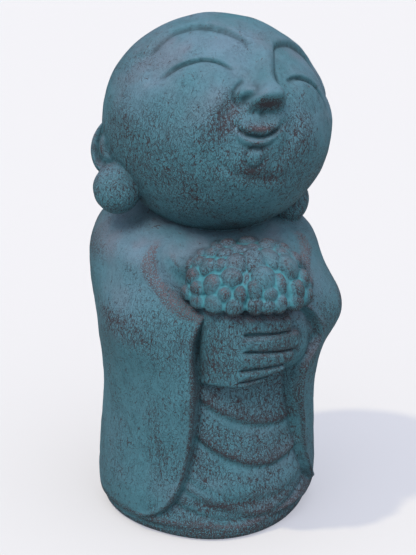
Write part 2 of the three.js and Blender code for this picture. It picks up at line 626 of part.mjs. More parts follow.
/** The right hand as a thick sheet laid round the front, its rows following the fingers. */
function rightHand() {
  const turns = [];
  for (let j = 0; j <= FACETS.handAcross; j += 1) {
    turns.push(HAND_SPAN[0] + ((HAND_SPAN[1] - HAND_SPAN[0]) * j) / FACETS.handAcross);
  }
  const lines = [
    (turn) => along(HAND_LOW_LINE, turn) - 1,
    (turn) => along(HAND_LOW_LINE, turn) + 2,
  ];
  for (const ends of FINGER_GROOVES) {
    lines.push((turn) => fingerLine(ends, turn) - GROOVE_BELOW);
    lines.push((turn) => fingerLine(ends, turn) - 0.01);
    lines.push((turn) => fingerLine(ends, turn) + GROOVE_ABOVE);
  }
  lines.push((turn) => handTop(turn) - 5);
  lines.push((turn) => handTop(turn) - 1.5);
  lines.push((turn) => handTop(turn) + 1);
  const rings = lines.map((line) => {
    const front = turns.map((turn) => {
      const z = Math.max(line(turn), along(HAND_LOW_LINE, turn) - 1);
      return roundPoint(turn, handRadius(turn, z), z);
    });
    const back = [...turns].reverse().map((turn) => {
      const z = Math.max(line(turn), along(HAND_LOW_LINE, turn) - 1);
      return roundPoint(turn, HAND_BACK_RADIUS, z);
    });
    return [...front, ...back];
  });
  const middle = (ring) => ring.reduce((sum, p) => sum.add(p), new THREE.Vector3())
    .divideScalar(ring.length);
  return ringSurface(middle(rings[0]), rings, middle(rings[rings.length - 1]));
}

/** The left hand, a smooth mitten shape showing past the right hand's fingertips. */
function leftHand() {
  const centre = roundPoint(LEFT_HAND.turn, LEFT_HAND.out, LEFT_HAND.z);
  const out = roundPoint(LEFT_HAND.turn, 1, 0);
  const across = roundPoint(LEFT_HAND.turn + 90, 1, 0);
  const up = new THREE.Vector3(0, 0, 1);
  const sizes = [LEFT_HAND.wide, LEFT_HAND.deep, LEFT_HAND.tall];
  return egg(centre, [across, out, up], sizes, FACETS.ear, FACETS.earUp);
}

const wasm = await Module();
wasm.setup();

/** Closed manifold solid of a geometry. */
function solidOf(geometry) {
  const bare = geometry.clone();
  bare.deleteAttribute('normal');
  bare.deleteAttribute('uv');
  const merged = mergeVertices(bare, 1e-4);
  return new wasm.Manifold(new wasm.Mesh({
    numProp: 3,
    vertProperties: new Float32Array(merged.attributes.position.array),
    triVerts: new Uint32Array(merged.index.array),
  }));
}

/** Geometry of a manifold solid. */
function geometryOf(solid) {
  const mesh = solid.getMesh();
  const geometry = new THREE.BufferGeometry();
  geometry.setAttribute('position', new THREE.BufferAttribute(new Float32Array(mesh.vertProperties), 3));
  geometry.setIndex(new THREE.BufferAttribute(new Uint32Array(mesh.triVerts), 1));
  geometry.computeVertexNormals();
  return geometry;
}

const pieces = [head(), ...ear(-1), ...ear(1), ...bunch(), rightHand(), leftHand()];
const figure = pieces.reduce((solid, piece) => solid.add(solidOf(piece)), solidOf(robe()));

const patina = new THREE.MeshStandardMaterial({ color: '#3f6e78', roughness: 0.88, metalness: 0 });
const statue = new THREE.Mesh(geometryOf(figure), patina);
statue.name = 'jizo_statue';

const group = new THREE.Group();
group.name = 'jizo_statue_part';
group.add(statue);

export default group;
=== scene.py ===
"""Looks of a small cast stone jizo statue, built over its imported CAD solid.

The figure is one casting. Its robe, head, ears, bunch of fruit and hands are worked out as closed
numpy surfaces in millimetres, united into one skin, softened where they meet, and finished in a
procedural verdigris. Turns about the upright axis are in degrees from the front (-Y), positive
towards the figure's own left (+X). Head measures are mm along its own side, front and up axes.
"""

import logging
from collections import Counter
from dataclasses import dataclass, field
from enum import Enum

import bmesh
import bpy
import numpy as np
from mathutils import Matrix, Vector


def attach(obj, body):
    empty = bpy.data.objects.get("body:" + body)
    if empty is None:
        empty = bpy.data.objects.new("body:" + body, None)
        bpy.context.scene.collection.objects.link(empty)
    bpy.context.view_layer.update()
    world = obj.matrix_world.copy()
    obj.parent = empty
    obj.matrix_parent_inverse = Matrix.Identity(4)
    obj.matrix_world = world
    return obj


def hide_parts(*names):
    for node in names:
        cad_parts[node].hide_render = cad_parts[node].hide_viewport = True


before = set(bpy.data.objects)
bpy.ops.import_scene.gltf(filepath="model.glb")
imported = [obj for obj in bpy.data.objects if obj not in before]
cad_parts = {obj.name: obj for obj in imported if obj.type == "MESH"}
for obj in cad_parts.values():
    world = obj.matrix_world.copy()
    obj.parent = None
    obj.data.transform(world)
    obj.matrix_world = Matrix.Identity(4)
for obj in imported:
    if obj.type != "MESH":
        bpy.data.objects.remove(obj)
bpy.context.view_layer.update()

LOG = logging.getLogger("jizo_statue")
MM = 0.001
Array = np.ndarray


def smooth_step(low: float, high: float, x: Array) -> Array:
    """Smooth rise from 0 at low to 1 at high, t * t * (3 - 2t).

    Args:
        low: where the rise starts.
        high: where it ends.
        x: values to shape.

    Returns:
        The risen values, 0 to 1.
    """
    t = np.clip((x - low) / (high - low), 0.0, 1.0)
    return t * t * (3.0 - 2.0 * t)


def bell(x: Array, spread: float) -> Array:
    """Bell exp(-(x / spread) squared): 1 at x = 0, 1/e at x = spread."""
    return np.exp(-((x / spread) ** 2))


def rounded_min(a: Array, b: Array, size: float) -> Array:
    """Smaller of two distances, with the corner between them rounded off.

    Args:
        a: first distance.
        b: second distance.
        size: how wide the rounding is.

    Returns:
        The rounded smaller distance.
    """
    h = np.clip(0.5 + 0.5 * (a - b) / size, 0.0, 1.0)
    return a * (1.0 - h) + b * h - size * h * (1.0 - h)


@dataclass(frozen=True)
class Curve:
    """Smooth curve y(x) through a few knots, level beyond its ends."""

    knots: tuple[tuple[float, float], ...]

    def at(self, x: Array) -> Array:
        """Cubic through the knots, its slope at each being the weighted mean of its two sides.

        Args:
            x: where to read the curve.

        Returns:
            The curve's heights.
        """
        table = np.asarray(self.knots, float)
        xs, ys = table[:, 0], table[:, 1]
        x = np.clip(x, xs[0], xs[-1])
        slopes = np.gradient(ys, xs)
        i = np.clip(np.searchsorted(xs, x, side="right") - 1, 0, len(xs) - 2)
        span = xs[i + 1] - xs[i]
        t = (x - xs[i]) / span
        t2, t3 = t * t, t * t * t
        rise = (3.0 * t2 - 2.0 * t3) * (ys[i + 1] - ys[i])
        return ys[i] + rise + span * ((t3 - 2.0 * t2 + t) * slopes[i] + (t3 - t2) * slopes[i + 1])

    def slope(self, x: Array, reach: float = 0.5) -> Array:
        """Rise of the curve per unit of x, measured across twice the reach."""
        return (self.at(x + reach) - self.at(x - reach)) / (2.0 * reach)


@dataclass(frozen=True)
class Swelling:
    """A soft bump: height times a bell across and a bell up."""

    height: float
    side: float
    wide: float
    up: float
    tall: float

    def at(self, side: Array, up: Array) -> Array:
        """Height of the bump at side, up."""
        return self.height * bell(side - self.side, self.wide) * bell(up - self.up, self.tall)


@dataclass(frozen=True)
class Look:
    """How a shell's own ridges and grooves show in its finish.

    The reaches are averaging passes along the columns and across the rings, for broad forms and
    for fine cuts. The other fields say how strongly grooves are cleaned to teal, ridges rubbed to
    brown, and fine cuts darkened with painted shade.
    """

    reach: tuple[int, int] = (3, 3)
    fine_reach: tuple[int, int] = (2, 2)
    grooves: float = 0.45
    ridges: float = 1.0
    painted_shade: float = 0.8


@dataclass
class Shell:
    """One closed surface in mm, with how proud and how worn each point is, and how much shade is painted
    into it.
    """

    name: str
    points: Array
    faces: list[list[int]]
    marks: Array

    @staticmethod
    def from_rings(name: str, rings: Array, wear: Array, look: "Look") -> "Shell":
        """Closes a grid of rings, whose first and last rings draw in to single points.

        Args:
            name: the shell's name.
            rings: rows x columns x 3 points; the columns go all the way round.
            wear: how worn each grid point is, 0 to 1.
            look: how the shell's ridges and grooves show in the finish.

        Returns:
            The closed shell with its faces outwards.
        """
        rows, columns = rings.shape[:2]
        relief = own_relief(rings, look.reach)
        # Painted shade: fine cuts are darkened where the surface dips below its own average.
        painted_shade = look.painted_shade * smooth_step(0.06, 0.42, -own_relief(rings, look.fine_reach))
        relief = np.where(relief < 0, look.grooves, look.ridges) * relief
        relief, painted_shade = averaged(relief, (1, 1)), averaged(painted_shade, (1, 1))
        points = listed(rings)
        index = 1 + np.arange((rows - 2) * columns).reshape(rows - 2, columns)
        after = np.roll(index, -1, 1)
        quads = np.stack([index[:-1], after[:-1], after[1:], index[1:]], -1).reshape(-1, 4)
        foot = np.stack([np.zeros(columns, int), after[0], index[0]], -1)
        crown = np.stack([np.full(columns, len(points) - 1), index[-1], after[-1]], -1)
        corner = points[quads]
        normal = np.cross(corner[:, 2] - corner[:, 0], corner[:, 3] - corner[:, 1])
        turn = 1 if (corner.mean(1) * normal).sum() > 0 else -1
        faces = quads[:, ::turn].tolist() + foot[:, ::turn].tolist() + crown[:, ::turn].tolist()
        return Shell(name, points, faces, listed(np.stack([relief, wear, painted_shade], -1)))

    def mesh_object(self) -> bpy.types.Object:
        """Makes a Blender object of the shell.

        Returns:
            The object, in metres.
        """
        mesh = bpy.data.meshes.new(self.name)
        mesh.from_pydata((self.points * MM).tolist(), [], self.faces)
        thing = bpy.data.objects.new(self.name, mesh)
        bpy.context.scene.collection.objects.link(thing)
        return thing


def listed(grid: Array) -> Array:
    """Grid as a list of points, its first and last rings each drawn in to their middle."""
    inner = grid[1:-1].reshape(-1, grid.shape[2])
    return np.concatenate([grid[:1].mean(1), inner, grid[-1:].mean(1)])


def averaged(grid: Array, passes: tuple[int, int]) -> Array:
    """Grid averaged with weights 1-2-1.

    Args:
        grid: rows x columns of values or points; the columns go all the way round.
        passes: how often it is averaged along the columns and across the rings.

    Returns:
        The averaged grid.
    """
    for _ in range(passes[1]):
        edged = np.concatenate([grid[:1], grid, grid[-1:]])
        grid = 0.25 * edged[:-2] + 0.5 * grid + 0.25 * edged[2:]
    for _ in range(passes[0]):
        grid = 0.25 * np.roll(grid, 1, 1) + 0.5 * grid + 0.25 * np.roll(grid, -1, 1)
    return grid


def own_relief(rings: Array, reach: tuple[int, int]) -> Array:
    """How far each point stands proud of the surface's own average round it, in mm.

    The move from the averaged grid to the point is measured along the outward normal, the cross
    product of the grid's two directions.

    Args:
        rings: rows x columns x 3 points.
        reach: averaging passes along the columns and across the rings.

    Returns:
        Rows x columns of distances, positive on ridges and negative in grooves.
    """
    soft = averaged(rings, reach)
    normal = np.cross(np.roll(soft, -1, 1) - np.roll(soft, 1, 1), np.gradient(soft, axis=0))
    normal /= np.maximum(np.linalg.norm(normal, axis=-1, keepdims=True), 1e-9)
    outward = np.sign((normal * (soft - soft.mean((0, 1)))).sum())
    return outward * ((rings - soft) * normal).sum(-1)


def on_round(turn: Array, radius: Array, height: Array) -> Array:
    """Points at a turn, a distance from the upright axis and a height."""
    angle = np.radians(turn)
    return np.stack(np.broadcast_arrays(radius * np.sin(angle), -radius * np.cos(angle), height), -1)


@dataclass
class Fold:
    """One hanging fold of the skirt, a U-shaped line that is proud above and sunk below."""

    z: float
    rise: float
    turn: float
    depth: float

    def above(self, turn: Array, z: Array) -> Array:
        """Distance in mm above the fold's U-shaped line."""
        return z - (self.z + self.rise * (turn - self.turn) ** 2)

    def at(self, turn: Array, z: Array) -> Array:
        """Depth times (proud step fading upwards minus sunk step fading downwards).

        Args:
            turn: turn from the front in degrees.
            z: height in mm.

        Returns:
            The fold's height in mm.
        """
        above = self.above(turn, z)
        side = 0.5 * (1.0 + np.tanh(above / 1.9))
        proud = side * np.exp(-np.maximum(above, 0.0) / 11.0)
        sunk = 0.75 * (1.0 - side) * np.exp(-np.maximum(-above, 0.0) / 6.0)
        return self.depth * (proud - sunk)


@dataclass
class Robe:
    """The foot disc, skirt, hanging sleeves, back, shoulders and crook of the arms."""

    girth: Curve = Curve(((0, 87), (12, 89.5), (60, 88), (100, 85.5), (150, 88), (205, 90.5), (240, 86)))
    lean_back: Curve = Curve(((0, 0), (170, 0), (215, 9), (240, 12)))
    skirt_girth: Curve = Curve(
        ((0, 87), (12, 90), (16, 88.5), (40, 86.5), (70, 84.5), (100, 83), (140, 81), (190, 78))
    )
    right_edge: Curve = Curve(
        ((8, 64), (16, 51), (25, 43.5), (45, 35.5), (71, 31), (131, 27.2), (178, 26), (200, 19))
    )
    left_edge: Curve = Curve(
        ((8, 70), (24, 50), (48, 38), (88, 30), (119, 25.5), (141, 28), (158, 38), (174, 34), (200, 18))
    )
    right_crest: Curve = Curve(
        (
            (0, 180), (24, 190), (30, 192.5), (38, 198), (46, 206),
            (52, 214), (55.5, 224), (58, 238), (66, 272),
        )
    )
    left_crest: Curve = Curve(((0, 180), (24, 192), (34, 203), (42, 212), (50, 221), (58, 236), (70, 275)))
    folds: tuple[Fold, ...] = (
        Fold(91, 0.0125, 20, 2.0),
        Fold(58, 0.0175, 13, 2.8),
        Fold(31, 0.012, 10, 0.9),
        Fold(13, 0.0085, 25, 1.5),
    )
    hem_z: float = 6.0
    rim: float = 5.0
    foot_girth: float = 86.0
    shoulder_z: float = 212.0
    shoulder_squareness: float = 2.6
    neck_z: float = 250.0
    neck_slant: float = 13.0
    left_elbow: float = 17.5
    right_elbow: float = 10.0
    forearm: float = 8.5
    hanging_sleeve: float = 3.0
    flat_side: float = 2.5
    left_cuff: float = 17.0
    hem_groove: float = 1.9
    edge_lip: float = 1.5
    edge_groove: float = 1.6
    crook_depth: float = 3.0
    skirt_columns: int = 46
    sleeve_columns: int = 66
    rows: int = 128
    shoulder_rows: int = 40

    def skirt_radius(self, turn: Array, z: Array) -> Array:
        """Skirt: its girth, plus every fold, plus the left cuff's fill, less the hem's groove.

        Args:
            turn: turn from the front in degrees.
            z: height in mm.

        Returns:
            Distance from the upright axis in mm.
        """
        r = self.skirt_girth.at(z)
        for fold in self.folds:
            r = r + fold.at(turn, z)
        r = r + self.left_cuff * smooth_step(13, 30, turn) * bell(z - 166, 28)
        return r - self.hem_groove * bell(z - (14 + 0.0095 * turn**2), 2.4)

    def sleeve_distance(self, turn: Array, z: Array) -> Array:
        """Distance inside a sleeve's front edge, rounded into the hem at its foot.

        Args:
            turn: turn from the front in degrees.
            z: height in mm.

        Returns:
            Distance in mm, negative on the skirt.
        """
        reach = np.radians(90.0)
        inside = []
        for edge in (self.right_edge, self.left_edge):
            lean = edge.slope(z)
            inside.append((np.abs(turn) - edge.at(z)) * reach / np.hypot(1.0, reach * lean))
        return rounded_min(np.where(turn < 0, inside[0], inside[1]), z - self.hem_z, 4.0)

    def sleeve_radius(self, turn: Array, z: Array) -> Array:
        """Sleeves and back: the girth leaning back, plus elbow, less the flat side, plus forearm
        and hanging sleeve.

        Args:
            turn: turn from the front in degrees.
            z: height in mm.

        Returns:
            Distance from the upright axis in mm.
        """
        side = np.abs(turn)
        r = self.girth.at(z) - self.lean_back.at(z) * np.cos(np.radians(turn))
        spread = np.where(z > 166, 30.0, 24.0)
        elbow = np.where(turn > 0, self.left_elbow, self.right_elbow)
        r = r + elbow * bell(side - 66, 22) * bell((z - 166) / spread, 1.0)
        r = r - self.flat_side * bell(turn - 80, 50) * (1 - smooth_step(100, 140, z))
        raised = smooth_step(60, 135, z) * (1 - smooth_step(180, 225, z))
        r = r + self.forearm * bell(side - 30, 20) * raised
        hanging = smooth_step(15, 40, z) * (1 - smooth_step(80, 135, z))
        return r + self.hanging_sleeve * bell(side - 36, 16) * hanging

    def above(self, crest: Curve, side: Array, z: Array) -> Array:
        """Distance in mm above a forearm's crest line."""
        return (z - crest.at(side)) / np.hypot(1.0, crest.slope(side, 1.0) / 1.5)

    def radius(self, turn: Array, z: Array) -> Array:
        """Whole robe: skirt and sleeves joined at the sleeve's edge, cut back to the chest above the
        forearm's crest, with a groove in the crook, and let down to the foot disc at the bottom.

        Args:
            turn: turn from the front in degrees.
            z: height in mm.

        Returns:
            Distance from the upright axis in mm.
        """
        side = np.abs(turn)
        inside = self.sleeve_distance(turn, z)
        skirt = self.skirt_radius(turn, z)
        sleeve = self.sleeve_radius(turn, z)
        lip = self.edge_lip * bell(inside - 2.2, 2.6) * (z > 12)
        r = skirt + (sleeve + lip - skirt) * smooth_step(-1.9, 1.5, inside)
        r = r - self.edge_groove * bell(inside + 2.6, 1.7) * smooth_step(14, 30, z)
        over_right = self.above(self.right_crest, side, z)
        above = np.where(turn < 0, over_right, self.above(self.left_crest, side, z))
        behind = smooth_step(0, 9, above) * (1 - 0.7 * smooth_step(232, 250, z))
        front = 60.0 + 0.3 * (232.0 - z)
        chest = np.minimum(front + (75.0 - front) * smooth_step(0, 55, side), sleeve)
        r = r + (chest - r) * behind
        crook = bell(above - 10, 6) * smooth_step(14, 30, side) * (1 - smooth_step(222, 244, z))
        r = r - self.crook_depth * crook
        foot = self.foot_girth + 5.0 * bell(turn + 14, 30) - 4.5 * bell(turn - 50, 30)
        top = np.where(turn > 0, 13.5, 9.5)
        low = 1 - smooth_step(-2.5, 2.5, z - top)
        return r + (foot - r) * low

    def turns(self, z: Array) -> Array:
        """Turns of the grid's columns at each height; they follow both sleeve edges.

        Args:
            z: heights, one to each row.

        Returns:
            Rows x columns of turns in degrees.
        """
        z = z[:, None]
        right, left = self.right_edge.at(z), self.left_edge.at(z)
        t = np.linspace(-1.0, 1.0, self.skirt_columns + 1)[None]
        s = 1.3 * t - 0.3 * t**3
        middle = np.where(s < 0, s * right, s * left)
        u = np.linspace(0.0, 1.0, self.sleeve_columns + 1)[None]
        outward = 0.25 * u + 0.75 * u**2
        leftward = left + (180.0 - left) * outward[:, 1:]
        rightward = -right - (180.0 - right) * outward[:, 1:-1]
        return np.concatenate([middle, leftward, rightward[:, ::-1]], 1)

    def wear(self, points: Array) -> Array:
        """Worn most on the skirt's scuff and at the elbows, least high on the shoulders.

        Args:
            points: the robe's points in mm.

        Returns:
            Wear, 0 to 1.2, bare brown above 1.
        """
        z = points[..., 2]
        turn = np.degrees(np.arctan2(points[..., 0], -points[..., 1]))
        base = 0.26 + 0.16 * smooth_step(100, 20, np.abs(turn)) * (1 - smooth_step(165, 205, z))
        cloth = smooth_step(2.0, -2.0, self.sleeve_distance(turn, z)) * (1 - smooth_step(170, 190, z))
        scuff = bell(z - 28 - 0.008 * (turn + 5) ** 2, 3.5) * bell(turn + 16, 14)
        skirt = 0.14 - 0.3 * bell(z - 42, 9) + 0.7 * scuff
        for fold in self.folds[:2]:
            above = fold.above(turn, z)
            skirt = skirt - 0.4 * bell(above + 4.5, 4.5) + 0.25 * bell(above - 4.0, 5.0)
        elbow = 0.75 * bell(np.abs(turn) - 70, 12) * bell(z - 177 - 0.35 * (np.abs(turn) - 70), 8)
        top = 0.1 * smooth_step(168, 205, z)
        return np.clip(base + cloth * skirt + elbow - top, 0.0, 1.2)

    def shell(self) -> Shell:
        """Rings of the flat underside, rounded rim and wall, and shoulders drawn in to the neck.

        Returns:
            The robe's closed shell.
        """
        under = np.array([0.0, 0.3, 0.6, 0.85])
        arc = np.radians(np.linspace(0, 90, 5))
        wall = np.linspace(self.rim, self.shoulder_z, self.rows)[1:]
        z = np.concatenate([under * 0, self.rim * (1 - np.cos(arc)), wall])
        inset = np.concatenate([under * 0 + self.rim, self.rim * (1 - np.sin(arc)), wall * 0])
        draw = np.concatenate([under, arc * 0 + 1, wall * 0 + 1])
        turn = self.turns(z)
        radius = (self.radius(turn, z[:, None]) - inset[:, None]) * draw[:, None]
        lower = on_round(turn, radius, z[:, None])
        climb = np.radians(np.linspace(0, 90, self.shoulder_rows + 1))[1:, None]
        turn = turn[-1:]
        neck = self.neck_z - self.neck_slant * np.cos(np.radians(turn))
        power = 2 / self.shoulder_squareness
        height = self.shoulder_z + (neck - self.shoulder_z) * np.sin(climb) ** power
        close = np.clip(np.cos(climb), 0, 1) ** power
        close[-1] = 0.0
        upper = on_round(turn, self.radius(turn, height) * close, height)
        rings = np.concatenate([lower, upper])
        look = Look((3, 7), (1, 2), grooves=0.35, ridges=1.6, painted_shade=0.3)
        return Shell.from_rings("robe", rings, self.wear(rings), look)


@dataclass(frozen=True)
class EyeSlit:
    """A closed eye: a thin curved slit with its lid's ridge above."""

    line: Curve
    inner: tuple[float, float]
    outer: tuple[float, float]

    def at(self, apart: Array, up: Array) -> Array:
        """Groove along the line, minus a narrow bell of the distance to it, plus the lid's ridge.

        Args:
            apart: distance from the middle of the face, mm.
            up: height on the head, mm.

        Returns:
            Height in mm.
        """
        off = (up - self.line.at(apart)) / np.hypot(1.0, self.line.slope(apart))
        ends = smooth_step(*self.inner, apart) * (1 - smooth_step(*self.outer, apart))
        steep = np.where(off > 0, 0.9, 1.9)
        return ends * (0.5 * bell(off - 3.2, 2.4) - 3.5 * bell(off / steep, 1.0))


@dataclass
class Head:
    """The big round head, tilted to the figure's left and looking up, with its carved face.

    The face is turned to the figure's left and lifted, and the head is tilted about the line that
    it looks along, all in degrees.
    """

    centre: tuple[float, float, float] = (6.65, -2.0, 313.25)
    half: tuple[float, float, float] = (88.2, 86.9, 82.5)
    face_turn: float = 1.96853
    face_lift: float = 22.32405
    tilt: float = 16.40849
    brow: Curve = Curve(((4, 44.5), (15, 51), (24, 55.5), (37, 58), (49, 56), (60, 50.5), (75, 31)))
    socket_side: Curve = Curve(((-4, 22), (4, 17), (10, 12.5), (18, 9.5), (28, 8), (50, 10)))
    nose_ridge: Curve = Curve(
        (
            (-7.5, 0), (-6, 1.2), (-3, 7), (0.4, 13.6), (2.2, 15.8),
            (6, 16.4), (12, 12.4), (22, 7), (32, 4), (52, 0),
        )
    )
    nose_width: Curve = Curve(((-8, 12.0), (2, 12.0), (9, 8.8), (18, 5.6), (30, 4.7), (50, 7.8)))
    nose_side: float = 0.9
    lean: float = 0.2
    cheek_line: Curve = Curve(((-45, 16), (-30, 23), (-15, 25), (0, 21), (10, 17)))
    right_eye: EyeSlit = EyeSlit(
        Curve(((23, 20), (30, 23.7), (41, 25.8), (52, 23.5), (61, 18.5), (70, 9))), (20, 31), (58, 72)
    )
    left_eye: EyeSlit = EyeSlit(
        Curve(((19, 21.5), (26, 25.2), (37, 27.3), (48, 25), (57, 20), (66, 10.5))), (16, 27), (54, 68)
    )
    columns: int = 232
    rows: int = 168

    @property
    def axes(self) -> Array:
        """Works out the head's own axes.

        Returns:
            Three unit axes: side to the figure's left, front out of the face, and up.
        """
        turn, lift, tilt = np.radians((self.face_turn, self.face_lift, self.tilt))
        level = np.array([np.cos(turn), np.sin(turn), 0.0])
        ahead = np.array([np.sin(turn), -np.cos(turn), 0.0])
        upward = np.array([0.0, 0.0, 1.0])
        front = np.cos(lift) * ahead + np.sin(lift) * upward
        upright = np.cos(lift) * upward - np.sin(lift) * ahead
        side = np.cos(tilt) * level - np.sin(tilt) * upright
        return np.array([side, front, np.sin(tilt) * level + np.cos(tilt) * upright])

    def point(self, side: Array, front: Array, up: Array) -> Array:
        """Points given along the head's own axes from its centre."""
        local = np.stack(np.broadcast_arrays(side, front, up), -1)
        return np.asarray(self.centre) + local @ self.axes

    def sockets(self, side: Array, up: Array) -> Array:
        """Brow line and the sunken socket below it, cut by a rounded corner beside the nose.

        The wall beside the nose is steep on the figure's left and drawn out soft on its right.

        Args:
            side: distance to the figure's left, mm.
            up: height on the head, mm.

        Returns:
            Height in mm.
        """
        apart = np.abs(side)
        under = (self.brow.at(apart) - up) / np.hypot(1.0, self.brow.slope(apart))
        soft = np.where(side < 0, 6.5 - 5.5 * smooth_step(36, 47, up), 1.0)
        inside = rounded_min(under, (apart - self.socket_side.at(up)) / soft, 5.0)
        reach = (1 - smooth_step(68, 80, apart)) * smooth_step(2, 14, up)
        beside = np.where(side < 0, smooth_step(9, 17, apart), 1.0)
        sunk = 2.9 * smooth_step(-1.7, 1.2, inside) * (1 - smooth_step(4, 42, under))
        ridge = 0.45 * bell(inside + 2.2, 2.4) * smooth_step(18, 34, up) * beside
        groove = 0.8 * bell(inside - 0.9, 1.5) * beside
        lids = Swelling(1.6, 40, 24, 38, 9).at(apart, up) + Swelling(1.5, 40, 24, 16, 9).at(apart, up)
        return (ridge - sunk - groove) * reach + lids

    def nose(self, side: Array, up: Array) -> Array:
        """Nose: the ridge's height times a squarish bell across, a wing on each side, the groove
        round the right wing, and the nostrils.

        Args:
            side: distance to the figure's left, mm.
            up: height on the head, mm.

        Returns:
            Height in mm.
        """
        across = side - self.nose_side
        level = up - self.lean * across * (1 - smooth_step(8, 24, up))
        square = 2.2 + 2.2 * (1 - smooth_step(4, 13, level))
        h = self.nose_ridge.at(level) * np.exp(-(np.abs(across / self.nose_width.at(level)) ** square))
        wings = 6.2 * bell(-across - 13.0, 6.2) * bell(level - 8.5, 4.8) * smooth_step(2.6, 5.2, level)
        wings = wings + 3.5 * bell(across - 11.5, 3.5) * bell(level - 6.0, 4.5)
        h = np.maximum(h, 0.4 * h + wings)
        ring = np.hypot((across + 13.5) / 9.5, (level - 7.0) / 9.0)
        h = h - 1.5 * bell(ring - 1.0, 0.16) * smooth_step(-15, -19, across)
        nostril = bell(np.hypot((across + 14.5) / 5.6, (level - 1.2) / 4.6), 0.85)
        return h - 3.4 * nostril - 1.2 * bell(across - 5.0, 3.0) * bell(level + 1.5, 2.0)

    def mouth(self, side: Array, up: Array) -> Array:
        """Smile: a curved slit between two lips, dimples at its ends, and the small chin ball.

        Args:
            side: distance to the figure's left, mm.
            up: height on the head, mm.

        Returns:
            Height in mm.
        """
        line = up - (-24.2 + 0.025 * side**2 + self.lean * side)
        within = 1 - smooth_step(11.5, 17.5, np.abs(side))
        upper_lip, lower_lip = Swelling(2.6, 0, 11, 4.6, 3.2), Swelling(3.0, 0, 11, -3.4, 2.2)
        h = upper_lip.at(side, line) + lower_lip.at(side, line) * within
        h = h - 4.2 * bell(line, 1.35) * within - 1.7 * bell(line + 7.4, 2.2) * bell(side, 12)
        h = h - 1.3 * bell(side, 2.4) * bell(up + 9, 4.5)
        h = h - Swelling(1.6, 17.0, 3.2, -15.5, 3.6).at(np.abs(side), up - self.lean * side)
        ball = np.hypot(side - 1.0, up + 37.0)
        h = h + 1.0 * np.sqrt(np.maximum(0.0, 1 - (ball / 5.6) ** 2)) - 0.9 * bell(ball - 6.6, 1.4)
        return h + 2.0 * bell(ball, 13)

    def relief(self, side: Array, up: Array) -> Array:
        """Height of the face's carving above the plain egg.

        Args:
            side: distance to the figure's left, mm.
            up: height on the head, mm.

        Returns:
            Height in mm.
        """
        apart = np.abs(side)
        h = Swelling(3.0, 40, 26, -14, 26).at(apart, up) + Swelling(3.5, 6, 42, -56, 19).at(side, up)
        h = h + Swelling(3.0, 0, 24, -20, 13).at(side, up)
        h = h + self.sockets(side, up) + self.nose(side, up) + self.mouth(side, up)
        h = h + np.where(side < 0, self.right_eye.at(apart, up), self.left_eye.at(apart, up))
        crease = bell(apart - self.cheek_line.at(up), 6.0) * bell(up + 14, 20)
        h = h - np.where(side < 0, 2.9, 1.9) * crease
        chin = up - (-50 + 0.006 * (side - 4) ** 2)
        return h - 1.4 * bell(chin, 3.2) * bell(side - 4, 34)

    def wear(self, side: Array, up: Array) -> Array:
        """Worn and speckled on the lower cheeks, muzzle and chin; clean on the forehead. Browner under
        the nose, partly wear and partly painted shade; the lower lip is kept clean as a painted highlight.

        Args:
            side: distance to the figure's left, mm.
            up: height on the head, mm.

        Returns:
            Wear, 0 to 1.4, bare brown above 1.
        """
        level = up - self.lean * side
        low = 1 - smooth_step(-40, 16, up)
        fold = 0.75 * bell(side + 26 - 0.2 * (up + 16), 8) * bell(up + 14, 17)
        chin = 0.58 * bell(side - 6, 20) * bell(up + 48, 5)
        chin = chin + 0.35 * bell(np.hypot(side - 1, up + 37) - 8.5, 2.5)
        lip_wear_and_highlight = Swelling(1.1, 0, 13, -18.5, 2.6).at(side, level)
        # Painted highlight: the lower lip is kept clean and lighter.
        lip_wear_and_highlight = lip_wear_and_highlight - Swelling(0.6, 1, 12, -27, 3).at(side, level)
        # Browner under the nose: partly wear, partly painted shade under it.
        nose = Swelling(1.3, 1, 11, -2.5, 3.2).at(side, level)
        beside = 0.35 * bell(side - 34, 12) * bell(up + 12, 18)
        temple = 0.18 * smooth_step(52, 74, np.abs(side))
        return np.clip(0.02 + 0.4 * low + fold + chin + lip_wear_and_highlight + nose + beside + temple, 0.0, 1.4)

    def shell(self) -> Shell:
        """Egg of three half sizes with the relief added along its radius, densest on the face.

        Returns:
            The head's closed shell.
        """
        t = 2 * np.linspace(0, 1, self.columns, endpoint=False) - 1
        v = 2 * np.linspace(0, 1, self.rows + 1) - 1
        turns, rises = np.pi * (0.45 * t + 0.55 * t**3), np.pi / 2 * (0.62 * v + 0.38 * v**3)
        around, rise = np.meshgrid(turns, rises)
        x, y, z = np.cos(rise) * np.sin(around), np.cos(rise) * np.cos(around), np.sin(rise)
        egg = 1 / np.sqrt((x / self.half[0]) ** 2 + (y / self.half[1]) ** 2 + (z / self.half[2]) ** 2)
        side, up = x * egg, z * egg
        r = egg + self.relief(side, up) * smooth_step(0.05, 0.35, y)
        rings = self.point(x * r, y * r, z * r)
        look = Look((5, 5), (2, 2), grooves=0.3, ridges=0.55, painted_shade=1.0)
        return Shell.from_rings("head", rings, self.wear(side, up), look)


def egg_rings(centre: Array, axes: Array, half: Array, columns: int, rows: int, power: float = 2.0) -> tuple:
    """Rings of an egg, or of a squarer egg where power is above 2.

    Args:
        centre: its middle, mm.
        axes: three unit axes; the rings go round the third.
        half: half sizes along the axes, mm.
        columns: points to a ring.
        rows: steps from pole to pole.
        power: squareness; each direction is raised to 2 / power.

    Returns:
        The rings' points, and the three unit direction grids they were made from.
    """
    turns = np.linspace(0, 2 * np.pi, columns, endpoint=False)
    around, rise = np.meshgrid(turns, np.linspace(-np.pi / 2, np.pi / 2, rows + 1))
    parts = [np.cos(rise) * np.sin(around), np.cos(rise) * np.cos(around), np.sin(rise)]
    parts = [np.sign(p) * np.abs(p) ** (2 / power) for p in parts]
    local = np.stack([p * h for p, h in zip(parts, half)], -1)
    return np.asarray(centre) + local @ np.asarray(axes), parts


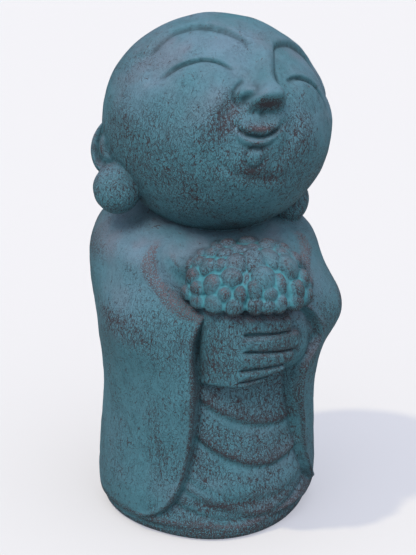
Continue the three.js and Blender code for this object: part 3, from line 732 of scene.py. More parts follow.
@dataclass
class Ear:
    """An ear plate with rolled rim and hollow, and its heavy round lobe."""

    head: Head
    left: bool
    lobe_side: float = 69.0
    lobe_front: float = -11.0
    lobe_half: tuple[float, float, float] = (18.6, 19.0, 19.6)
    plate_side: float = 77.5
    plate_front: float = -15.0
    plate_above_lobe: float = 31.0
    plate_turn: float = 38.5
    plate_half: tuple[float, float, float] = (8.0, 14.5, 22.5)

    @property
    def sign(self) -> int:
        """1 on the figure's left and -1 on its right."""
        return 1 if self.left else -1

    @property
    def lobe_up(self) -> float:
        """Height of the lobe's middle on the head."""
        return -47.0 if self.left else -61.5

    def lobe(self) -> Shell:
        """Round lobe: a plain egg along the head's axes.

        Returns:
            The lobe's closed shell.
        """
        centre = self.head.point(self.sign * self.lobe_side, self.lobe_front, self.lobe_up)
        rings, _ = egg_rings(centre, self.head.axes, self.lobe_half, 48, 32)
        return Shell.from_rings("lobe", rings, np.full(rings.shape[:2], 0.5), Look(painted_shade=0.0))

    def plate(self) -> Shell:
        """Ear plate: a flat egg whose front is hollowed, with a rolled rim and an inner ridge.

        Its front is sunk by a ring inside the rim and a bell in the middle, and raised by a ring at
        the rim.

        Returns:
            The plate's closed shell.
        """
        side, front, up = self.head.axes
        turn = np.radians(self.plate_turn)
        face = self.sign * np.sin(turn) * side + np.cos(turn) * front
        back = self.sign * np.cos(turn) * side - np.sin(turn) * front
        middle_up = self.lobe_up + self.plate_above_lobe
        centre = self.head.point(self.sign * self.plate_side, self.plate_front, middle_up)
        rings, (x, y, z) = egg_rings(centre, np.array([face, back, up]), self.plate_half, 72, 56)
        off = np.hypot(y, 0.92 * z)
        inner = np.hypot(0.9 * (y + 0.18), 0.75 * (z + 0.1))
        sink = 0.8 * bell(off - 0.6, 0.15) + 0.85 * bell(inner, 0.3) - 0.3 * bell(off - 0.85, 0.1)
        rings = rings - (self.plate_half[0] * x * sink * smooth_step(0.1, 0.55, x))[..., None] * face
        return Shell.from_rings("ear", rings, np.full(rings.shape[:2], 0.35), Look((4, 4)))


@dataclass(frozen=True)
class Fruit:
    """One fruit of the bunch: where it sits on the dome in degrees, and its half sizes in mm."""

    turn: float
    rise: float
    wide: float
    tall: float


@dataclass
class Bunch:
    """The bunch of fruit: a squarish dome with egg-shaped fruits of many sizes crowded over it."""

    centre: tuple[float, float, float] = (2.5, -70.0, 203.5)
    half: tuple[float, float, float] = (51.5, 45.0, 33.5)
    squareness: float = 0.9
    underside: float = 12.0
    sag: float = 8.5
    sag_turn: float = 65.0
    bed: float = 0.9
    plump: float = 0.95
    seated: float = 0.72
    clefts: tuple[float, ...] = (-19.5, 25.0)
    cleft_depth: float = 4.5
    lowest_fruit: float = -14.0
    front_fruits: tuple[Fruit, ...] = (
        Fruit(-74, 44, 7.2, 7.5), Fruit(-71, 14, 6.2, 5.5), Fruit(-55, 23, 6.8, 7.8),
        Fruit(-37, 35, 7.6, 7.4), Fruit(-36, 54, 8.0, 9.2), Fruit(-6, 57, 8.4, 12.0),
        Fruit(25, 58, 9.0, 10.0), Fruit(40, 42, 10.0, 10.5), Fruit(55, 22, 8.0, 7.0),
        Fruit(-1, 32, 9.0, 10.0), Fruit(15, 23, 5.2, 8.0), Fruit(36, 11, 6.6, 8.4),
        Fruit(56, 2, 8.0, 8.4), Fruit(-12, 18, 5.0, 7.6), Fruit(2, 12, 6.2, 6.0),
        Fruit(-12, 0, 6.4, 7.4), Fruit(0, -3, 6.6, 6.8), Fruit(12, -1, 6.4, 7.6),
        Fruit(32, -2, 9.0, 7.4), Fruit(-40, 13, 5.4, 5.6), Fruit(-26, 13, 4.6, 6.4),
        Fruit(-50, 0, 7.8, 8.2), Fruit(-31, -2, 7.4, 8.0), Fruit(-69, -1, 6.8, 6.0),
        Fruit(-86, 4, 6.4, 5.5), Fruit(-86, 26, 7.0, 6.0), Fruit(-92, 42, 6.8, 6.8),
        Fruit(-58, 51, 4.4, 5.4), Fruit(-72, 66, 7.0, 7.4), Fruit(-105, 58, 7.4, 6.4),
        Fruit(-62, 79, 7.5, 6.5), Fruit(-22, 76, 6.4, 6.4), Fruit(20, 82, 6.5, 6.0),
        Fruit(70, 72, 7.5, 7.0), Fruit(60, 56, 7.5, 7.5), Fruit(78, 40, 7.5, 7.0),
    )
    tiers: tuple[tuple[float, float, float], ...] = ((5, 20, 76), (27, 22, 92), (46, 28, 96), (66, 44, 112))
    columns: int = 216
    rows: int = 78
    bottom_rows: int = 10

    def dome(self, turn: Array, rise: Array) -> Array:
        """Squarish dome that sags a little towards the figure's left, relative to its centre.

        Each direction's cosine and sine are raised to the squareness; the sag fades up the dome.

        Args:
            turn: degrees from the front round the dome.
            rise: degrees up the dome; below zero is the underside.

        Returns:
            Points relative to the centre, mm.
        """
        around, lift = np.radians(turn), np.radians(rise)
        out = np.abs(np.cos(lift)) ** self.squareness
        tall = np.where(rise < 0, self.underside, self.half[2])
        up = np.sign(lift) * tall * np.abs(np.sin(lift)) ** self.squareness
        sunk = self.sag * bell((turn - self.sag_turn + 180.0) % 360.0 - 180.0, 40.0)
        up = up - sunk * (1 - np.clip(rise / 70.0, 0.0, 1.0))
        return np.stack([self.half[0] * out * np.sin(around), -self.half[1] * out * np.cos(around), up], -1)

    def fruits(self) -> tuple[Fruit, ...]:
        """The front fruits, and even tiers of them round the rest of the dome.

        Returns:
            Every fruit of the bunch.
        """
        rest = [
            Fruit(turn, rise + 4.0 * np.sin(turn), 7.6, 6.8)
            for rise, step, start in self.tiers
            for turn in np.arange(start, 250.0, step)
        ]
        return self.front_fruits + tuple(rest)

    def reach(self, way: Array) -> Array:
        """How far the fruits reach out from the bunch's centre along each direction.

        Each fruit is an egg sunk into the dome. A ray from the centre leaves it at the larger root
        of a quadratic, and the farthest of all the eggs is kept.

        Args:
            way: unit directions.

        Returns:
            Distances in mm, 0 where a ray meets no fruit.
        """
        farthest = np.zeros(way.shape[:-1])
        for fruit in self.fruits():
            seat = self.dome(np.array(fruit.turn), np.array(fruit.rise))
            size = np.linalg.norm(seat)
            outward = seat / size
            level = np.array([np.cos(np.radians(fruit.turn)), np.sin(np.radians(fruit.turn)), 0.0])
            level -= (level @ outward) * outward
            level /= np.linalg.norm(level)
            deep = self.plump * min(fruit.wide, fruit.tall)
            half = np.array([deep, 1.1 * fruit.wide, 1.1 * fruit.tall])
            axes = np.stack([outward, level, np.cross(outward, level)]) / half[:, None]
            ray = way @ axes.T
            start = -(axes @ (outward * (size - self.seated * deep)))
            a, b, c = (ray**2).sum(-1), ray @ start, start @ start - 1.0
            root = b * b - a * c
            out = np.where(root > 0, (-b + np.sqrt(np.maximum(root, 0.0))) / a, 0.0)
            farthest = np.maximum(farthest, out)
        return farthest

    def shell(self) -> Shell:
        """Rays from the centre, ending on the dome's bed or on the fruit that stands farther out.

        Returns:
            The bunch's closed shell.
        """
        around = np.linspace(0, 360, self.columns, endpoint=False)
        turns = around - 24.0 * np.sin(np.radians(around)) - 15.0
        share = np.linspace(0, 1, self.rows + 1)
        under = np.linspace(-90, self.lowest_fruit, self.bottom_rows, endpoint=False)
        rises = np.concatenate([under, self.lowest_fruit + (90 - self.lowest_fruit) * share**1.1])
        turn, rise = np.meshgrid(turns, rises)
        place = self.dome(turn, rise)
        size = np.maximum(np.linalg.norm(place, axis=-1), 1.0)
        way = place / size[..., None]
        cleft = sum(bell(turn - middle, 3.6) for middle in self.clefts) * (1 - smooth_step(28, 52, rise))
        out = np.maximum(self.bed * size, self.reach(way) - self.cleft_depth * cleft)
        rings = np.asarray(self.centre) + way * out[..., None]
        look = Look((9, 8), grooves=1.3, ridges=1.3, painted_shade=0.0)
        return Shell.from_rings("bunch", rings, np.full(rings.shape[:2], 0.42), look)


@dataclass
class RightHand:
    """The right hand laid across the front, its fingers parted by slanting grooves."""

    root: float = 72.0
    back: float = 66.0
    crown_out: float = 94.0
    wrist_turn: float = -27.8
    groove_depth: float = 5.0
    finger_round: float = 1.8
    low: Curve = Curve(((-28, 131.5), (-8, 131.5), (2, 133.5), (12, 138), (24, 143)))
    grooves: tuple[tuple[float, float], ...] = (
        (140.4, 143.1), (150.4, 149.3), (165.6, 160.0), (178.6, 175.0),
    )
    finger_ends: tuple[float, ...] = (9.6, 15.5, 20.6, 23.8, 18.8)
    columns: int = 84

    def groove_z(self, ends: tuple[float, float], turn: Array) -> Array:
        """Height of a groove between two fingers, a straight slant from the knuckles."""
        return ends[0] + (turn + 8.0) / 22.0 * (ends[1] - ends[0])

    def top(self, turn: Array) -> Array:
        """Height of the hand's upper edge."""
        return 198.5 - 0.3 * np.maximum(turn + 12.0, 0.0)

    def radius(self, turn: Array, z: Array) -> Array:
        """Hand: a crown that falls in a squarish round to its root at every edge, less the grooves,
        whose upper walls are steep and lower walls sloped, with each finger rounded a little.

        Args:
            turn: turn from the front in degrees.
            z: height in mm.

        Returns:
            Distance from the upright axis in mm.
        """
        reach = np.radians(102.0)
        lines = [self.groove_z(ends, turn) for ends in self.grooves]
        bounds = [self.low.at(turn), *lines, self.top(turn)]
        end = np.full_like(turn, self.finger_ends[0])
        across = np.zeros_like(turn)
        for below, over, finger_end in zip(bounds[:-1], bounds[1:], self.finger_ends):
            end = np.where(z > below, finger_end, end)
            across = np.where((z > below) & (z <= over), 2 * (z - below) / (over - below) - 1, across)
        past_wrist = (turn - self.wrist_turn) * reach * 0.48
        inside = np.minimum.reduce([bounds[-1] - z, z - bounds[0], past_wrist, (end - turn) * reach])
        rise = np.sqrt(np.clip(1 - (1 - np.clip(inside / 8.0, 0, 1)) ** 2.4, 0, 1))
        crown = self.crown_out + 8.5 * smooth_step(-25, -8, turn) + 3.0 * bell(z - 168, 30)
        crown = crown - 2.0 * smooth_step(6, 22, turn)
        r = np.where(inside > 0, self.root + (crown - self.root) * rise, self.root)
        parted = self.parting(turn, z) * (inside > 0)
        for line in lines:
            above = z - line
            cut = np.where(above > 0, np.clip(1 - above / 0.9, 0, 1), np.clip(1 + above / 3.0, 0, 1) ** 0.8)
            r = r - self.groove_depth * cut * parted
        r = r - self.finger_round * (1 - np.sqrt(np.clip(1 - np.abs(across) ** 2.6, 0, 1))) * parted
        return r + 0.9 * bell(turn + 6.0, 3.0) * bell(across, 0.7) * (inside > 0)

    def parting(self, turn: Array, z: Array) -> Array:
        """How far the fingers are parted: 0 on the back of the hand, 1 past the knuckles."""
        knuckle = -8.0 + 2.2 * smooth_step(150, 163, z)
        return smooth_step(-2.0, 1.2, turn - knuckle)

    def shell(self) -> Shell:
        """Rows that follow the grooves, each along the front and back again behind.

        Returns:
            The hand's closed shell.
        """
        turn = np.linspace(-29.5, 25.0, self.columns + 1)
        low = self.low.at(turn)
        lines = [low - 1, low, low + 2, low + 5]
        for ends in self.grooves:
            at = self.groove_z(ends, turn)
            lines += [at + shift for shift in (-4.6, -3.1, -1.5, -0.01, 0.45, 0.95, 2.2, 4.0)]
        lines += [self.top(turn) + shift for shift in (-9.0, -6.0, -4.0, -2.5, -1.2, -0.4, 0.0, 1.0)]
        rows = [lines[0][None]]
        for before, after in zip(lines[:-1], lines[1:]):
            steps = max(1, int(round(float(np.abs(after - before).max()) / 1.5)))
            share = np.arange(1, steps + 1)[:, None] / steps
            rows.append(before + (after - before) * share)
        z = np.maximum.accumulate(np.maximum(np.concatenate(rows), low - 1), 0)
        turns = np.broadcast_to(turn, z.shape)
        front = on_round(turns, self.radius(turns, z), z)
        behind = on_round(turns, np.full_like(z, self.back), z)[:, ::-1][:, ::4]
        rings = np.concatenate([front, behind], 1)
        caps = [np.broadcast_to(ring.mean(0), ring.shape)[None] for ring in (rings[0], rings[-1])]
        rings = np.concatenate([caps[0], rings, caps[1]])
        look = Look((3, 4), (2, 2), painted_shade=1.0)
        return Shell.from_rings("right_hand", rings, np.full(rings.shape[:2], 0.45), look)


@dataclass
class LeftHand:
    """The left hand, a smooth mitten shape showing past the right hand's fingertips."""

    turn: float = 24.0
    out: float = 77.5
    z: float = 161.0
    half: tuple[float, float, float] = (19.0, 20.5, 26.0)

    def shell(self) -> Shell:
        """A slightly square egg facing outwards.

        Returns:
            The hand's closed shell.
        """
        outward = on_round(self.turn, 1.0, 0.0)
        across = on_round(self.turn + 90.0, 1.0, 0.0)
        centre = on_round(self.turn, self.out, self.z)
        rings, _ = egg_rings(centre, np.array([across, outward, [0, 0, 1.0]]), self.half, 60, 44, 2.6)
        return Shell.from_rings("left_hand", rings, np.full(rings.shape[:2], 0.4), Look(painted_shade=0.0))


class Tone(Enum):
    """Colours of the finish, linear red, green and blue."""

    TEAL = (0.047, 0.138, 0.168)
    BRIGHT_TEAL = (0.048, 0.205, 0.240)
    DEEP_TEAL = (0.026, 0.080, 0.100)
    # Pale grey-blue dust on the tops, with painted sheen.
    BLOOM = (0.125, 0.176, 0.232)
    MAUVE = (0.150, 0.150, 0.195)
    RUST = (0.024, 0.014, 0.016)
    # Brown dusted on the tops and made paler there as painted light from above.
    DUSTY_TOP_LIT_RUST = (0.100, 0.078, 0.088)
    # Near black, painted shade in fine cuts and joins.
    PAINTED_SHADE = (0.010, 0.018, 0.022)


class Graph:
    """Short ways to add shader nodes to one material."""

    def __init__(self, material: bpy.types.Material) -> None:
        """Starts the material's nodes afresh.

        Args:
            material: the material to fill.
        """
        material.use_nodes = True
        self.tree = material.node_tree
        self.tree.nodes.clear()

    def node(self, kind: str, **settings: object) -> bpy.types.Node:
        """Adds a node.

        Args:
            kind: the node's type name.
            settings: its properties.

        Returns:
            The new node.
        """
        made = self.tree.nodes.new(kind)
        for name, value in settings.items():
            setattr(made, name, value)
        return made

    def feed(self, socket: bpy.types.NodeSocket, value: object) -> None:
        """Links a socket to another's output, or sets its own value.

        Args:
            socket: the input to fill.
            value: an output to link, or a plain value.
        """
        if isinstance(value, bpy.types.NodeSocket):
            self.tree.links.new(value, socket)
        else:
            socket.default_value = value

    def math(self, operation: str, *values: object, clamp: bool = False) -> bpy.types.NodeSocket:
        """Math node.

        Args:
            operation: the node's operation.
            values: its values or sockets in order.
            clamp: whether the result is kept within 0 to 1.

        Returns:
            The result's socket.
        """
        made = self.node("ShaderNodeMath", operation=operation, use_clamp=clamp)
        for socket, value in zip(made.inputs, values):
            self.feed(socket, value)
        return made.outputs[0]

    def ramp(self, value: object, low: float, high: float) -> bpy.types.NodeSocket:
        """Smooth rise from 0 at low to 1 at high.

        Args:
            value: value or socket to shape.
            low: where the rise starts.
            high: where it ends.

        Returns:
            The result's socket.
        """
        made = self.node("ShaderNodeMapRange", interpolation_type="SMOOTHSTEP")
        self.feed(made.inputs["Value"], value)
        made.inputs["From Min"].default_value = low
        made.inputs["From Max"].default_value = high
        return made.outputs["Result"]

    def mix(self, share: object, a: object, b: object) -> bpy.types.NodeSocket:
        """Mixes two colours.

        Args:
            share: 0 gives the first colour and 1 the second.
            a: first colour, as a tone, four numbers or a socket.
            b: second colour.

        Returns:
            The result's socket.
        """
        made = self.node("ShaderNodeMix", data_type="RGBA")
        self.feed(made.inputs["Factor"], share)
        for socket, value in ((made.inputs[6], a), (made.inputs[7], b)):
            self.feed(socket, (*value.value, 1.0) if isinstance(value, Tone) else value)
        return made.outputs[2]

    def noise(
        self, where: object, scale: float, detail: float = 3.0, rough: float = 0.5, output: str = "Fac"
    ) -> bpy.types.NodeSocket:
        """Noise, about 0.5 on average.

        Args:
            where: the coordinates.
            scale: its scale per metre.
            detail: how many finer layers it has.
            rough: how strong the finer layers are.
            output: Fac for one value, Color for three.

        Returns:
            The result's socket.
        """
        made = self.node("ShaderNodeTexNoise")
        self.feed(made.inputs["Vector"], where)
        made.inputs["Scale"].default_value = scale
        made.inputs["Detail"].default_value = detail
        made.inputs["Roughness"].default_value = rough
        return made.outputs[output]

    def stretched(self, where: object, tall: float) -> bpy.types.NodeSocket:
        """Draws patterns out upwards.

        Args:
            where: the coordinates.
            tall: below 1, patterns are drawn out to 1 / tall of their height.

        Returns:
            The new coordinates.
        """
        made = self.node("ShaderNodeMapping")
        self.feed(made.inputs["Vector"], where)
        made.inputs["Scale"].default_value = (1.0, 1.0, tall)
        return made.outputs[0]

    def attribute(self, name: str) -> bpy.types.NodeSocket:
        """Value of one of the mesh's own point attributes."""
        return self.node("ShaderNodeAttribute", attribute_name=name).outputs["Fac"]


@dataclass(frozen=True)
class Skin:
    """What every layer of the finish reads: coordinates, marks of the mesh and shared noises."""

    where: bpy.types.NodeSocket
    grain: bpy.types.NodeSocket
    relief: bpy.types.NodeSocket
    wear: bpy.types.NodeSocket
    painted_shade: bpy.types.NodeSocket
    patch: bpy.types.NodeSocket
    mottle: bpy.types.NodeSocket
    speck: bpy.types.NodeSocket
    worn: bpy.types.NodeSocket
    zone: bpy.types.NodeSocket
    sunk: bpy.types.NodeSocket


@dataclass(frozen=True)
class Verdigris:
    """Blue-green patina over dark rust brown, wrinkled, cracked and rubbed through where it is proud.

    Its patterns are given by their scales per metre.
    """

    name: str = "verdigris_stone"
    coarse_wrinkle: float = 430.0
    fine_wrinkle: float = 760.0
    streak: float = 340.0
    crack: float = 190.0
    broad_cloud: float = 17.0
    pale_cloud: float = 31.0
    worn_patch: float = 34.0
    dent: float = 110.0
    mottling: float = 190.0
    grit: float = 520.0
    specks: float = 950.0
    grain_tall: float = 0.55
    streak_tall: float = 0.16
    roughness: float = 0.8
    specular: float = 0.2
    bump_mm: float = 0.45

    def wrinkle(self, g: Graph, grain: object, scale: float, zone: object) -> bpy.types.NodeSocket:
        """Wandering lines where a noise is near its middle value, thicker where the zone is high.

        Args:
            g: the material's graph.
            grain: the coordinates.
            scale: the noise's scale per metre.
            zone: 0 where the skin is whole, 1 where it is most worn.

        Returns:
            1 in a line and 0 between lines.
        """
        off = g.math("ABSOLUTE", g.math("SUBTRACT", g.noise(grain, scale, 1.2, 0.5), 0.5))
        thick = g.math("MULTIPLY_ADD", zone, 0.07, 0.004)
        return g.math("SUBTRACT", 1.0, g.ramp(g.math("DIVIDE", off, thick), 0.3, 1.0))

    def cracks(self, g: Graph, grain: object) -> bpy.types.NodeSocket:
        """Thin dark lines between cells.

        Args:
            g: the material's graph.
            grain: the coordinates.

        Returns:
            1 in a line and 0 between lines.
        """
        cells = g.node("ShaderNodeTexVoronoi", feature="DISTANCE_TO_EDGE")
        g.feed(cells.inputs["Vector"], grain)
        cells.inputs["Scale"].default_value = self.crack
        return g.math("SUBTRACT", 1.0, g.ramp(cells.outputs["Distance"], 0.02, 0.075))

    def pushed(self, g: Graph, grain: object, scale: float, reach_mm: float) -> bpy.types.NodeSocket:
        """Coordinates pushed about by a noise.

        Args:
            g: the material's graph.
            grain: the coordinates.
            scale: the noise's scale per metre.
            reach_mm: how far it pushes, mm.

        Returns:
            The new coordinates.
        """
        push = g.node("ShaderNodeVectorMath", operation="MULTIPLY_ADD")
        g.feed(push.inputs[0], g.noise(grain, scale, output="Color"))
        push.inputs[1].default_value = (2.0 * reach_mm * MM,) * 3
        g.feed(push.inputs[2], grain)
        return push.outputs[0]

    def skin(self, g: Graph) -> Skin:
        """Reads the coordinates and marks, and makes the shared noises.

        Args:
            g: the material's graph.

        Returns:
            The sockets that the layers share.
        """
        where = g.node("ShaderNodeTexCoord").outputs["Object"]
        grain = g.stretched(where, self.grain_tall)
        relief, wear, painted_shade = (g.attribute(name) for name in ("relief", "wear", "painted_shade"))
        patch = g.noise(grain, self.worn_patch)
        mottle = g.noise(grain, self.mottling, rough=0.6)
        speck = g.noise(where, self.specks, 1.5, 0.6)
        worn = g.math("MULTIPLY_ADD", g.math("SUBTRACT", patch, 0.5), 0.9, wear)
        zone = g.ramp(worn, 0.0, 1.1)
        sunk = g.ramp(g.math("MULTIPLY", relief, -1.0), 0.1, 0.8)
        return Skin(where, grain, relief, wear, painted_shade, patch, mottle, speck, worn, zone, sunk)

    def lines(self, g: Graph, skin: Skin) -> bpy.types.NodeSocket:
        """Wrinkles, streaks that hang down the cloth, and sparse cracks, whichever is strongest.

        Args:
            g: the material's graph.
            skin: the shared sockets.

        Returns:
            1 in a line and 0 between lines.
        """
        coarse = self.wrinkle(g, skin.grain, self.coarse_wrinkle, skin.zone)
        fine = g.math("MULTIPLY", self.wrinkle(g, skin.grain, self.fine_wrinkle, skin.zone), 0.8)
        hanging = g.stretched(skin.where, self.streak_tall)
        streaks = self.wrinkle(g, hanging, self.streak, g.math("MULTIPLY", skin.zone, 0.5))
        streaks = g.math("MULTIPLY", streaks, g.ramp(skin.patch, 0.35, 0.6))
        less_worn = g.math("SUBTRACT", 1.0, g.ramp(skin.wear, 0.42, 0.58))
        streaks = g.math("MULTIPLY", streaks, less_worn)
        brittle = g.math("ADD", skin.mottle, g.math("MULTIPLY", skin.zone, 0.3))
        cracks = self.cracks(g, self.pushed(g, skin.grain, 200.0, 4.0))
        cracks = g.math("MULTIPLY", cracks, g.ramp(brittle, 0.55, 0.75))
        return g.math("MAXIMUM", g.math("MAXIMUM", coarse, fine), g.math("MAXIMUM", streaks, cracks))

    def rust(self, g: Graph, skin: Skin, lines: object) -> bpy.types.NodeSocket:
        """Brown in lines, specks, rubbed ridges and bare patches; grooves keep their teal.

        Args:
            g: the material's graph.
            skin: the shared sockets.
            lines: 1 in a wrinkle, streak or crack.

        Returns:
            0 where the patina is whole, 1 where the brown shows.
        """
        dots = g.math("MULTIPLY", g.ramp(skin.speck, 0.52, 0.62), g.ramp(skin.zone, 0.25, 1.1))
        proud = g.math("MULTIPLY_ADD", g.math("SUBTRACT", skin.mottle, 0.5), 0.7, skin.relief)
        rubbed = g.math("MULTIPLY", g.ramp(proud, 0.25, 0.85), g.ramp(skin.speck, 0.38, 0.58))
        rust = g.math("MAXIMUM", g.math("MULTIPLY", lines, 0.92), g.math("MULTIPLY", dots, 0.8))
        rust = g.math("MAXIMUM", rust, g.math("MULTIPLY", rubbed, 0.92))
        kept = g.math("SUBTRACT", 1.0, g.math("MULTIPLY", skin.sunk, 0.8))
        rust = g.math("MULTIPLY", rust, kept, clamp=True)
        bare = g.math("MULTIPLY_ADD", g.math("SUBTRACT", skin.speck, 0.5), 1.2, skin.worn)
        return g.math("MAXIMUM", rust, g.math("MULTIPLY", g.ramp(bare, 0.85, 1.25), 0.9))

    def colour(self, g: Graph, skin: Skin, lines: object, rust: object) -> bpy.types.NodeSocket:
        """Teal with pale grey-blue dust and painted sheen where it looks up, then brown, paler as
        painted top light where it looks up, then painted shade in fine cuts and joins.

        Args:
            g: the material's graph.
            skin: the shared sockets.
            lines: 1 in a wrinkle, streak or crack.
            rust: 1 where the brown shows.

        Returns:
            The colour's socket.
        """
        normal = g.node("ShaderNodeSeparateXYZ")
        g.feed(normal.inputs[0], g.node("ShaderNodeNewGeometry").outputs["Normal"])
        # Masks of how much the surface looks up: they lay pale dust on the tops and also paint light from
        # above onto them.
        up = g.ramp(normal.outputs["Z"], -0.3, 0.95)
        high = g.ramp(normal.outputs["Z"], 0.05, 0.95)
        dust_and_sheen = g.math("MULTIPLY", up, g.ramp(g.noise(skin.where, self.broad_cloud, 2.0), 0.25, 0.7))
        cloud = g.ramp(g.noise(skin.where, self.pale_cloud), 0.45, 0.62)
        teal = g.mix(g.ramp(skin.mottle, 0.25, 0.6), Tone.DEEP_TEAL, Tone.TEAL)
        teal = g.mix(0.5, teal, Tone.TEAL)
        teal = g.mix(g.math("MULTIPLY", dust_and_sheen, 0.65), teal, g.mix(cloud, Tone.BLOOM, Tone.MAUVE))
        teal = g.mix(g.math("MULTIPLY", skin.sunk, 0.75), teal, Tone.BRIGHT_TEAL)
        # Brown is paler where it looks up: dust, and painted top light.
        brown = g.mix(high, Tone.RUST, Tone.DUSTY_TOP_LIT_RUST)
        brown = g.mix(g.math("MULTIPLY", lines, 0.9), brown, Tone.RUST)
        colour = g.mix(rust, teal, brown)
        # Painted shade: fine cuts and joins are darkened towards near black.
        return g.mix(g.math("MULTIPLY", skin.painted_shade, 0.85), colour, Tone.PAINTED_SHADE)

    def bump(self, g: Graph, skin: Skin, rust: object) -> bpy.types.NodeSocket:
        """Fine grit and shallow dents, with the brown a little lower than the patina.

        Args:
            g: the material's graph.
            skin: the shared sockets.
            rust: 1 where the brown shows.

        Returns:
            The bumped normal's socket.
        """
        grit = g.noise(skin.where, self.grit, 3.0, 0.7)
        height = g.math("SUBTRACT", grit, g.math("MULTIPLY", rust, 0.7))
        height = g.math("MULTIPLY_ADD", g.noise(skin.where, self.dent, 2.0), 1.2, height)
        made = g.node("ShaderNodeBump")
        made.inputs["Strength"].default_value = 1.0
        made.inputs["Distance"].default_value = self.bump_mm * MM
        g.feed(made.inputs["Height"], height)
        return made.outputs[0]

    def material(self) -> bpy.types.Material:
        """Builds the material from its layers.

        Returns:
            The material.
        """
        made = bpy.data.materials.new(self.name)
        g = Graph(made)
        skin = self.skin(g)
        lines = self.lines(g, skin)
        rust = self.rust(g, skin, lines)
        shader = g.node("ShaderNodeBsdfPrincipled")
        g.feed(shader.inputs["Base Color"], self.colour(g, skin, lines, rust))
        shader.inputs["Roughness"].default_value = self.roughness
        shader.inputs["Specular IOR Level"].default_value = self.specular
        g.feed(shader.inputs["Normal"], self.bump(g, skin, rust))
        g.feed(g.node("ShaderNodeOutputMaterial").inputs["Surface"], shader.outputs[0])
        return made


@dataclass(frozen=True)
class PalePaper:
    """Plain matt near-white floor."""

    name: str = "pale_floor"
    colour: tuple[float, float, float] = (0.25, 0.25, 0.25)
    bounce: float = 0.8

    def material(self) -> bpy.types.Material:
        """Matt one-colour material that sends only part of its light back up to the statue.

        Returns:
            The material.
        """
        made = bpy.data.materials.new(self.name)
        g = Graph(made)
        seen = g.node("ShaderNodeLightPath").outputs["Is Camera Ray"]
        shader = g.node("ShaderNodeBsdfPrincipled")
        bright = (*self.colour, 1.0)
        g.feed(shader.inputs["Base Color"], g.mix(seen, tuple(self.bounce * x for x in bright), bright))
        shader.inputs["Roughness"].default_value = 0.9
        shader.inputs["Specular IOR Level"].default_value = 0.0
        g.feed(g.node("ShaderNodeOutputMaterial").inputs["Surface"], shader.outputs[0])
        return made


def read_floats(items: bpy.types.bpy_prop_collection, name: str) -> Array:
    """Reads a vector of every item of a mesh.

    Args:
        items: the mesh's vertices or normals.
        name: which of their vectors.

    Returns:
        One row of three numbers for each item.
    """
    values = np.empty(len(items) * 3)
    items.foreach_get(name, values)
    return values.reshape(-1, 3)


